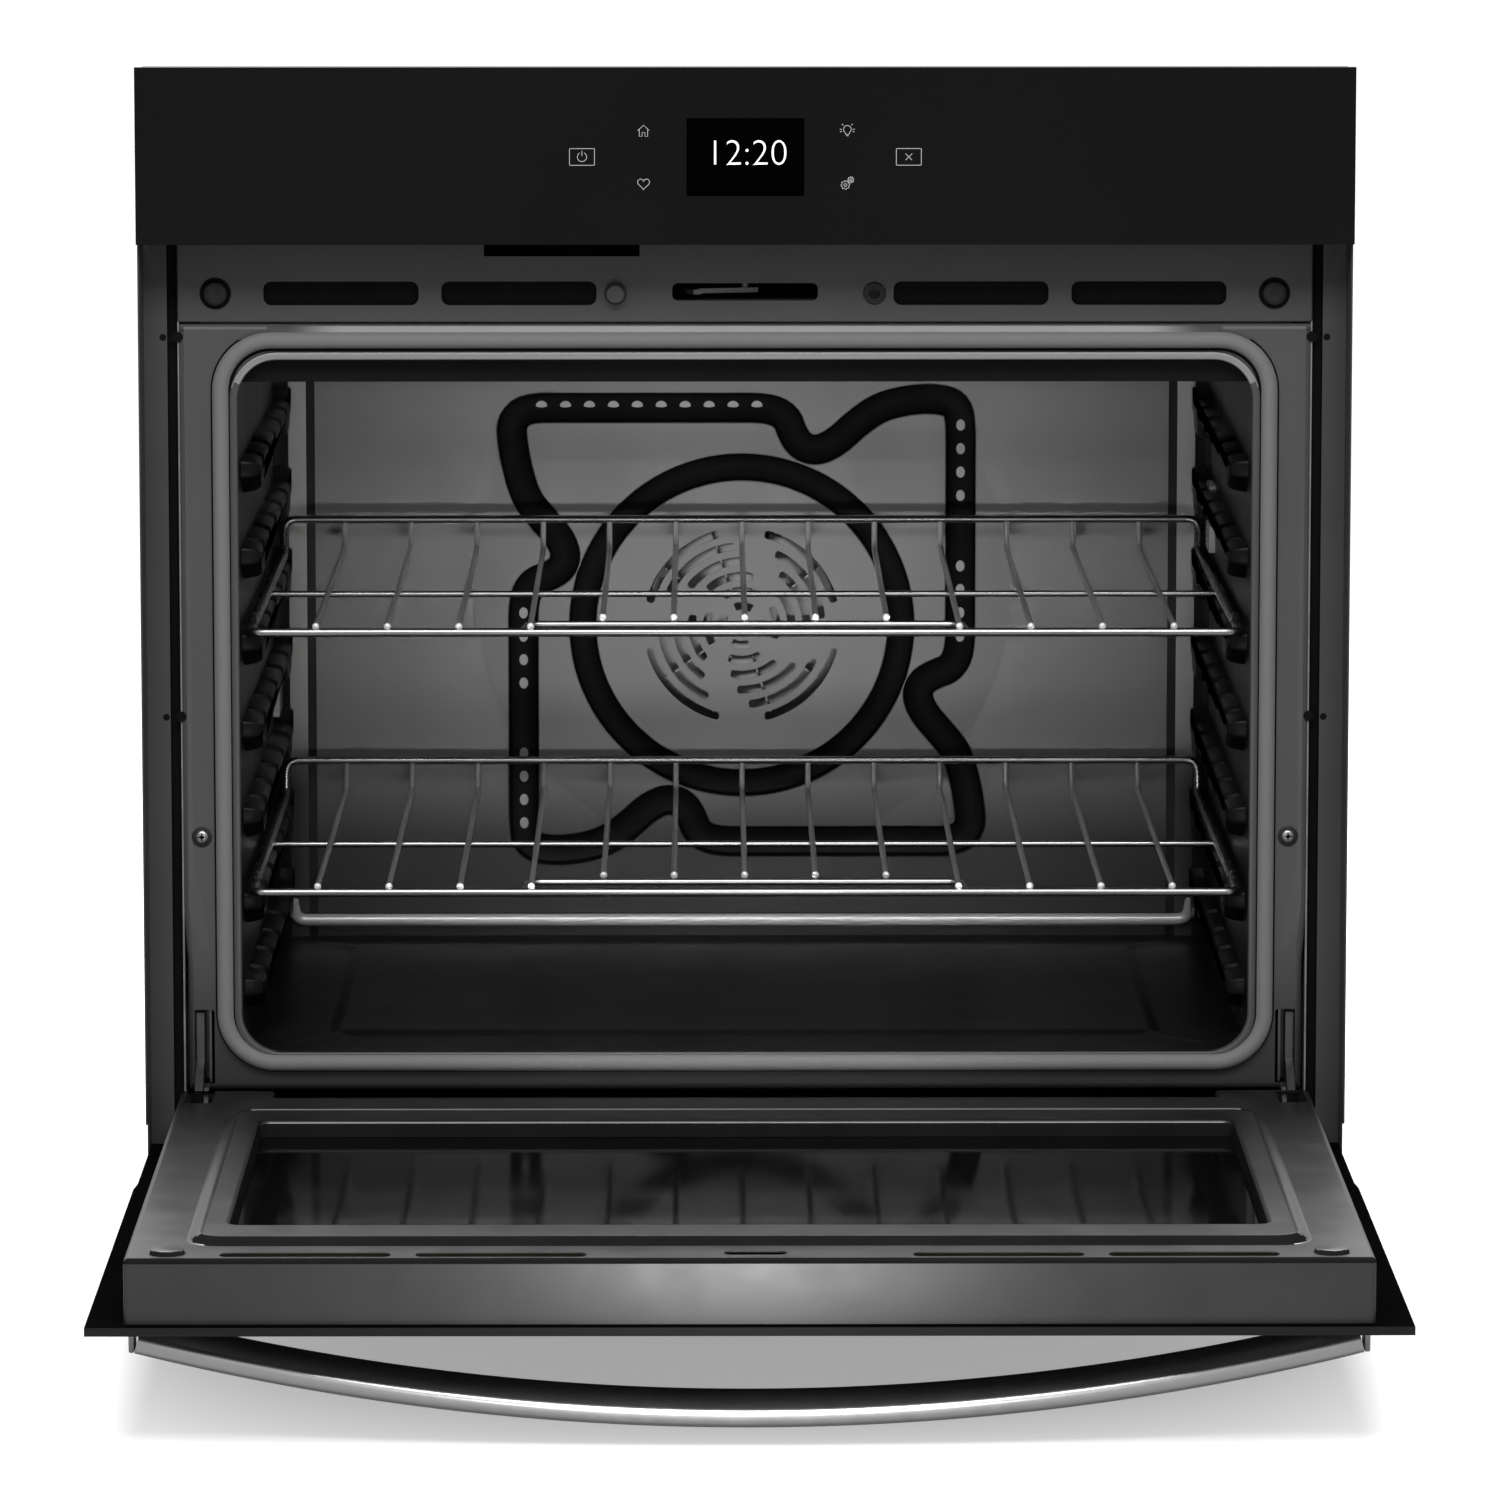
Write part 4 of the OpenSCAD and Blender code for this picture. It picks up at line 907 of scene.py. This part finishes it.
# The groove: half of it, and the same turned by half a turn.
CHANNEL_PATH = smoothed(HALF_PATH + [(-x, -z) for x, z in HALF_PATH], 2)


def to_segment(px, pz, a, b):
    dx, dz = b[0] - a[0], b[1] - a[1]
    t = max(0, min(1, ((px - a[0]) * dx + (pz - a[1]) * dz) / (dx * dx + dz * dz)))
    return hypot(px - a[0] - t * dx, pz - a[1] - t * dz)


def from_channel(x, z):
    """Distance of a point of the rear wall from the middle of the nearest groove."""
    near = abs(hypot(x, z) - RING_R) + 1.0
    for i, b in enumerate(CHANNEL_PATH):
        a = CHANNEL_PATH[i - 1]
        if abs(a[0] - x) < 40 and abs(a[1] - z) < 40 or abs(b[0] - x) < 40 and abs(b[1] - z) < 40:
            near = min(near, to_segment(x, z, a, b))
    return near


def groove_depth(x, z):
    return CHANNEL_DEPTH * eased((CHANNEL_W / 2 + SHOULDER / 2 - from_channel(x, z)) / SHOULDER)


def fan_slot_loops():
    """Curved slots before the fan: six rings of four, each ring turned on from the last."""
    loops = []
    for ring in range(6):
        r = 65.6 - 10.4 * ring
        sweep = 62 - 2 * ring
        for quarter in range(4):
            start = radians(90 * quarter + 14 + 11 * ring)
            loop = []
            for side, turns in ((2.8, range(9)), (-2.8, range(8, -1, -1))):
                for k in turns:
                    a = start + radians(sweep) * k / 8
                    loop.append(((r + side) * cos(a), -(r + side) * sin(a)))
            loops.append(filleted(loop, 2.2, 2))
    return loops


def lit_hole(cx, cz, across, up, down):
    """The lit part of an air hole, which is round above and flatter below."""
    return [(cx + across * cos(a), cz + (up if sin(a) > 0 else down) * sin(a))
            for a in bearings(14)]


# Painted light: patches where the insides of the air holes catch the light; the holes are not cut.
def lit_hole_patch_loops():
    loops = [lit_hole(-138 + 16.5 * i, 152, 3.9, 3.4, 1.1) for i in range(10)]
    for turn in (1, -1):
        for i in (0, 1, 2, 3, 6, 7, 8, 9):
            loops.append(lit_hole(turn * 151, turn * (138.5 - 16.3 * i), 3.0, 3.9, 3.9))
    return loops


def make_rear_wall():
    sheet = Sheet()
    corner = 27
    flat_half = CAVITY_HALF - corner
    low, high = CAVITY_LOW, CAVITY_HIGH
    outline = [(x, z - FAN_Z) for x, z in ((-flat_half, low), (flat_half, low), (flat_half, high),
                                           (-flat_half, high))]
    shaping = []
    for k in range(5):
        off = CHANNEL_W / 2 + SHOULDER / 2 - SHOULDER * k / 4
        shaping += [moved(CHANNEL_PATH, off), moved(CHANNEL_PATH, -off)]
        shaping += [circle_loop(0, 0, r, 96) for r in (RING_R + off - 1, RING_R - off + 1)]
    lit_hole_patches = lit_hole_patch_loops()

    def wall_tone(x, z):
        # Painted light in the air holes' lit patches.
        if any(within((x, z), hole) for hole in lit_hole_patches):
            return "hole_glint"
        # Painted shade in the grooves.
        return "painted_recess_shade" if groove_depth(x, z) > 0.12 * CHANNEL_DEPTH else None

    # The wall's enamel carries painted shade, darker towards the bottom.
    sheet.area(outline, fan_slot_loops(), "rear_enamel",
               lambda x, z: row(x, BACK_Y + groove_depth(x, z) - 0.2, FAN_Z + z),
               extra=shaping + lit_hole_patches, tone=wall_tone,
               curved=lambda x, z: groove_depth(x, z) > 0.01)
    # Painted light: the middle of each rounded rear corner is a lighter band, darker towards the
    # bottom.
    for s in (-1, 1):
        for first, last, tone in ((0, 13, "enamel"), (13, 42, "corner_painted_light"), (42, 90, "enamel")):
            angles = [radians(first + (last - first) * k / 4) for k in range(5)]
            sheet.loft([[row(s * (flat_half + (corner - 0.2) * sin(a)),
                             BACK_Y - 0.2 - corner + corner * cos(a), z) for a in angles]
                        for z in (low, high)], tone, around=False)
    sheet.finish("rear_wall", ["cavity_back"], SHEET - 0.2, OUTWARD, sharp=50)


def make_floor_panel():
    sheet = Sheet()
    rise, slope = 3.0, 9
    half, near, far = 270, 111, 468
    front, rear = FLOOR_LOW.y, BACK_Y - 0.2
    level = CAVITY_LOW + 0.05

    def height(x, y):
        return rise * eased(min(half - abs(x), y - near, far - y) / slope)

    outline = [(-CAVITY_HALF, front), (CAVITY_HALF, front), (CAVITY_HALF, rear), (-CAVITY_HALF, rear)]
    loops = [rect_loop(half - d, near + d, far - d, 24 - d, 8)
             for d in (slope * k / 5 for k in range(6))]
    sheet.area(outline, [], "enamel", lambda x, y: row(x, y, level + height(x, y)), extra=loops,
               curved=lambda x, y: 0.01 < height(x, y) < rise - 0.01)
    sheet.finish("cavity_floor_panel", ["cavity_floor"], 1.0, (0, 0, 1))
    roll = Sheet()
    ends = [(CAVITY_HALF - 12, rear - 6, level + 12), (CAVITY_HALF - 10, rear - 12, level + 26)]
    path = [row(-x, y, z) for x, y, z in ends[::-1]] + [row(*end) for end in ends]
    roll.tube(filleted(path, 0.012, 8, closed=False), 0.0042, "roll_enamel", sides=12)
    roll.finish("rear_floor_roll")


make_seal()
make_cavity_lip()
make_rear_wall()
make_floor_panel()

# ---- rack ledges

LEVELS = 7
LEVEL_PITCH = 55.77
FIRST_LEDGE = drawn("rack_guides_right")[0].z + 11
NOTCHES_Y = (440, 365, 290, 215, 140)


def make_rack_guides(side, hand):
    """Pressed steps, one above another, that each end in a stop at the rear."""
    sheet = Sheet()
    wall = CAVITY_HALF - 0.1
    for level in range(LEVELS):
        top = FIRST_LEDGE + level * LEVEL_PITCH
        high, low = top - 13, top - 24
        notches = [(y + dy, top - drop) for y in NOTCHES_Y
                   for dy, drop in ((9, 0), (6, 6), (-6, 6), (-9, 0))]
        outline = filleted([(84, high), (100, high), (112, low), (150, low), (162, high), (434, high),
                            (446, low), (484, low), (496, high), (512, high), (512, top + 9),
                            (503, top + 9), (499, top), *notches, (84, top)], 3, 3)
        loops = [[row(side * (wall - out), y, z) for y, z in moved(outline, -inset)]
                 for inset, out in ((0, 0), (0.6, 4), (1.5, 8), (3.0, 10.8), (4.4, 11.4))]
        sheet.loft(loops, "enamel")
        sheet.face(sheet.points(loops[-1]), sheet.slot_of("enamel"))
    sheet.finish("rack_steps_" + hand, ["rack_guides_" + hand], outward=(-side, 0, 0))


make_rack_guides(-1, "left")
make_rack_guides(1, "right")

# ---- racks


def make_rack(node):
    """A frame of thick wire, bent up at the rear, with two bars across and thin wires on top."""
    low, high = drawn(node)
    sheet = Sheet()
    side_x = 314.5
    front_y, bend_y = low.y + 3, high.y - 2.8
    level, rear_z = low.z + 3, high.z - 2.75
    on_top = level + 4.4

    def wire(points, radius, material, sides, closed=False):
        path = filleted(points, 9, 6, closed=closed)
        sheet.tube([row(*p) for p in path], radius, material, closed=closed, sides=sides)

    edge = [(front_y, level), (front_y + 30, level), (front_y + 36, level + 5),
            (front_y + 44, level + 5), (front_y + 50, level), (bend_y - 8, level), (bend_y, rear_z)]
    wire([(-side_x, *edge[0])] + [(side_x, *p) for p in edge] + [(-side_x, *p) for p in edge[:0:-1]],
         0.0028, "chrome_wire", 12, closed=True)
    bar_half, bar_y, cross_y = 139, front_y + 47, front_y + 213
    wire([(-bar_half - 3, front_y + 1, level - 0.4), (-bar_half, bar_y, level - 0.6),
          (bar_half, bar_y, level - 0.6), (bar_half + 3, front_y + 1, level - 0.4)],
         0.0023, "chrome_wire", 10)
    wire([(-side_x, cross_y, level - 0.8), (side_x, cross_y, level - 0.8)], 0.0021, "chrome_wire", 10)
    for i in range(-6, 7):
        x = i * 45.5
        start = bar_y - 1.5 if abs(i) < 3 else front_y - 1.5
        wire([(x, start, on_top), (x, bend_y - 6, on_top), (x, bend_y + 0.5, rear_z + 1)],
             0.0019, "cross_wire", 8)
        turned(sheet, [(0.01, 2.4), (1.3, 2.0), (2.2, 1.0), (2.4, 0), (2.2, -1.0), (1.6, -1.8)],
               lambda a, b, h: row(x + a, start - h * 0.6, on_top - 0.3 + b), "bright_end", 12)
    sheet.finish(node + "_wires", [node], body=node)


make_rack("upper_rack")
make_rack("lower_rack")

# ---- door

LINER_HALF = drawn("door_liner")[1].x
DOOR_BACK_Y = 43.5
DOOR_VENT_Z = 594
DOOR_TOP_Z = 609
# Half width, lowest and highest edge and corner radius of the window and of the ridge round it.
WINDOW = (305, 191, 528.5, 10)
RIDGE = (326, 147, 571.5, 20)
RIDGE_H = 4.0
PANE_Y = 37.2


def inner_loop(shape, inset, rounding=1.0):
    half, low, high, r = shape
    return rect_loop(half - inset, low + inset, high - inset, r - inset * rounding, 10)


def make_door_liner():
    sheet = Sheet()
    low, tab, tab_x = 89, 64, 299
    outline = filleted([(-LINER_HALF, tab), (-tab_x, tab), (-tab_x, low), (tab_x, low), (tab_x, tab),
                        (LINER_HALF, tab), (LINER_HALF, DOOR_TOP_Z), (-LINER_HALF, DOOR_TOP_Z)], 3, 3)
    holes = [inner_loop(RIDGE, 0)]
    holes += [slot_loop(mid, DOOR_VENT_Z + 2.5, VENT_LENGTH, 13, 5) for mid in VENTS]
    holes.append(slot_loop(3.3, DOOR_VENT_Z - 2, 36, 11, 4.5))
    holes += [slot_loop(x, 88, 18, 44, 3) for x in (-HINGE_X, HINGE_X)]
    holes += [circle_loop(x, DOOR_VENT_Z - 2, 11, 32) for x in (-BUMPER_X, BUMPER_X)]
    # The liner's paint carries painted shade, darker towards the hinge.
    rolled(sheet, outline, holes, DOOR_BACK_Y, 3, 5.3, "liner_paint", swung)

    # The raised frame: up the outer slope, over the flat and down the inner wall to the pane.
    crest_y, crest_inset = DOOR_BACK_Y + RIDGE_H, 9.4
    slope = [(7 * k / 6, RIDGE_H * eased(k / 6)) for k in range(6)]
    slope += [(6.6, RIDGE_H + 0.1), (7.3, RIDGE_H + 0.5), (8.2, RIDGE_H + 0.5), (crest_inset, RIDGE_H)]
    sheet.loft([[swung(x, DOOR_BACK_Y + h, z) for x, z in inner_loop(RIDGE, inset, 0.7)]
                for inset, h in slope], "liner_paint")
    sheet.area(inner_loop(RIDGE, crest_inset, 0.7), [inner_loop(WINDOW, 0)], "liner_paint",
               lambda x, z: swung(x, crest_y, z))
    wall = [[swung(x, crest_y - drop, z) for x, z in inner_loop(WINDOW, inset)]
            for inset, drop in ((0, 0), (0.6, 0.2), (1.4, 0.8), (2.0, 1.8), (2.6, 4.0),
                                (4.0, crest_y - PANE_Y - 0.2))]
    # Painted shade on the window's inner wall below its rounded edge.
    sheet.loft(wall[:4], "liner_paint")
    sheet.loft(wall[3:], "liner_shade")
    # Round pads that meet the rubber bumpers.
    for mid in (-BUMPER_X, BUMPER_X):
        turned(sheet, [(11, 0), (10.4, 0.4), (9.6, 2.2), (8.9, 2.5), (0.01, 2.5)],
               lambda a, b, h: swung(mid + a, DOOR_BACK_Y + h, DOOR_VENT_Z - 2 + b), "liner_paint", 32)
    end_shade_look, shade_look, crest_highlight_look = map(sheet.slot_of, ("liner_end_shade", "liner_shade", "lip_highlight_enamel"))
    made = sheet.finish("door_inner_panel", ["door_liner"], 1.0, (0, 0, 1), 50,
                        "door")
    # The end takes painted shade, darker on its face and near-black where it faces up; the ridge's far
    # slope takes the near-black too, and its near crest a painted highlight.
    end_at, free_at, hinge_at = (swung(0, 0, z).y for z in (DOOR_TOP_Z - 3.1, RIDGE[2] - 30,
                                                            RIDGE[1] + 10))
    for face in made.data.polygons:
        y, facing = face.center.y, face.normal
        if y < end_at:
            face.material_index = shade_look if facing.z > 0.15 else end_shade_look
        elif y < free_at and facing.y < -0.2:
            face.material_index = shade_look
        elif y > hinge_at and facing.y < -0.15:
            face.material_index = crest_highlight_look


BAR_LOW, BAR_HIGH = drawn("handle_bar")
HANDLE_Z = AXIS_Z + AXIS_Y - (BAR_LOW.y + BAR_HIGH.y) / 2
HALF_LENGTH = (BAR_HIGH.x - BAR_LOW.x) / 2
HALF_HEIGHT = (BAR_HIGH.y - BAR_LOW.y) / 2
BOW_R = 1451
BAR_T = 19.5
END_REACH = 16.5


def hull_of(circles):
    """The outline round some circles, given as (x, y, radius)."""
    spots = sorted({(x + r * cos(a), y + r * sin(a)) for x, y, r in circles
                    for a in bearings(24)})
    out = []
    for order in (spots, spots[::-1]):
        side = []
        for p in order:
            while len(side) > 1 and ((side[-1][0] - side[-2][0]) * (p[1] - side[-2][1])
                                     <= (side[-1][1] - side[-2][1]) * (p[0] - side[-2][0])):
                side.pop()
            side.append(p)
        out += side[:-1]
    return out


def make_handle():
    """A bowed bar, cut back on the side of the glass, drawn over the arc between its ends."""
    sheet = Sheet()
    sag = BOW_R - sqrt(BOW_R ** 2 - HALF_LENGTH ** 2)
    centre_y = BOW_R - END_REACH - sag
    half_angle = asin(HALF_LENGTH / BOW_R)
    section = hull_of([(5, 5 - HALF_HEIGHT, 5), (BAR_T - 5, 5 - HALF_HEIGHT, 5),
                       (BAR_T - 2.5, HALF_HEIGHT - 2.5, 2.4), (12.5, HALF_HEIGHT - 5, 5), (4, -3.5, 4)])
    loops = []
    for k in range(65):
        a = half_angle * (k / 32 - 1)
        ring = []
        for u, w in section:
            r = BOW_R - BAR_T - 0.1 + u
            ring.append(swung(r * sin(a), min(centre_y - r * cos(a), -0.35), HANDLE_Z + w))
        loops.append(ring)
    sheet.loft(loops, "handle_steel", caps=True)
    sheet.finish("handle_bow", ["handle_bar"], sharp=60, body="door")
    ends = Sheet()
    for s in (-1, 1):
        outline = slot_loop(s * 356, HANDLE_Z, 3.4, 2 * HALF_HEIGHT - 1.2, 1.2, 4)
        ends.loft([[swung(x, y, z) for x, z in moved(outline, -inset)]
                   for y, inset in ((-0.3, 0), (1.4 - END_REACH, 0), (0.7 - END_REACH, 0.5))],
                  "cap_grey", caps=True)
        ends.loft([[swung(x, y, z) for x, z in circle_loop(s * 349, HANDLE_Z, 3, 16)]
                   for y in (-0.3, 15)], "zinc", caps=True)
    ends.finish("handle_end_caps", ["handle_ends"], body="door")


make_door_liner()
make_handle()

# ---- control panel

LINE_WIDTH = 0.33


def stroke(sheet, points, closed=False):
    """A thin printed line on the control glass, as a flat strip."""
    pts = [Vector(p) for p in points]
    left, right = [], []
    for i, p in enumerate(pts):
        a = pts[i - 1] if closed or i > 0 else p
        b = pts[(i + 1) % len(pts)] if closed or i + 1 < len(pts) else p
        d = (b - a).normalized()
        n = Vector((-d.y, d.x)) * LINE_WIDTH / 2
        left.append(row(p.x + n.x, -0.12, p.y + n.y))
        right.append(row(p.x - n.x, -0.12, p.y - n.y))
    sheet.loft([left, right], "icons", around=closed)


def arc(cx, cz, r, first, last):
    angles = [radians(first + (last - first) * k / 14) for k in range(15)]
    return [(cx + r * cos(a), cz + r * sin(a)) for a in angles]


def make_icons():
    """Two keys with power and cancel signs, a home, a heart, a lamp and two gears."""
    sheet = Sheet()

    def sign(cx, cz, points, closed=False):
        stroke(sheet, [(cx + x, cz + z) for x, z in points], closed)

    key_x, key_z = 102, 677.2
    for x in (-key_x, key_x):
        stroke(sheet, slot_loop(x, key_z, 15.6, 10.4, 0.4, 3), closed=True)
    stroke(sheet, arc(-key_x, key_z, 2.9, 120, 420))
    sign(-key_x, key_z, [(0, 0.6), (0, 3.8)])
    for up in (2, -2):
        sign(key_x, key_z, [(-2, -up), (2, up)])
    home = (-63.6, 693.4)
    sign(*home, [(-3.6, 0.2), (0, 3.6), (3.6, 0.2)])
    sign(*home, [(-2.6, 1), (-2.6, -3.4), (-0.9, -3.4), (-0.9, -0.9), (0.9, -0.9), (0.9, -3.4),
                 (2.6, -3.4), (2.6, 1)])
    size = 0.235
    sign(-63.6, 660.6, [(size * 16 * sin(a) ** 3,
                         size * (13 * cos(a) - 5 * cos(2 * a) - 2 * cos(3 * a)
                                 - cos(4 * a))) for a in bearings(32)], closed=True)
    bulb = (63.6, 694.4)
    sign(*bulb, arc(0, 0, 2.4, -50, 230) + [(-0.9, -3.2), (0.9, -3.2)], closed=True)
    sign(*bulb, [(-0.8, -4), (0.8, -4)])
    for degrees in (0, 45, 135, 180, -20, 200):
        a = radians(degrees)
        sign(*bulb, [(reach * cos(a), reach * sin(a)) for reach in (3.5, 4.7)])
    for gear_x, gear_z, r in ((62.4, 659.6, 2.2), (65.8, 662.9, 1.4)):
        rim = [(r + (0.55 if k % 4 < 2 else 0), a) for k, a in enumerate(bearings(32))]
        sign(gear_x, gear_z, [(d * cos(a), d * sin(a)) for d, a in rim], closed=True)
        stroke(sheet, circle_loop(gear_x, gear_z, r * 0.42, 12), closed=True)
    sheet.finish("touch_icons", outward=OUTWARD)


def make_display():
    sheet = Sheet()
    sheet.area(rect_loop(36.8, 652.7, 701.4, 0.6, 3), [], "screen", lambda x, z: row(x, -0.06, z))
    sheet.finish("display_window", outward=OUTWARD)
    text = bpy.data.curves.new("clock_digits", "FONT")
    text.body = "12:20"
    text.size = 0.0232
    text.offset = -0.0005
    text.align_x = text.align_y = "CENTER"
    text.materials.append(MATERIALS["digits"])
    made = put("clock_digits", text)
    made.rotation_euler = (pi / 2, 0, 0)
    made.location = row(1, -0.14, 679)
    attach(made, "chassis")


make_icons()
make_display()

# ---- view transform

bpy.context.scene.view_settings.view_transform = "Standard"
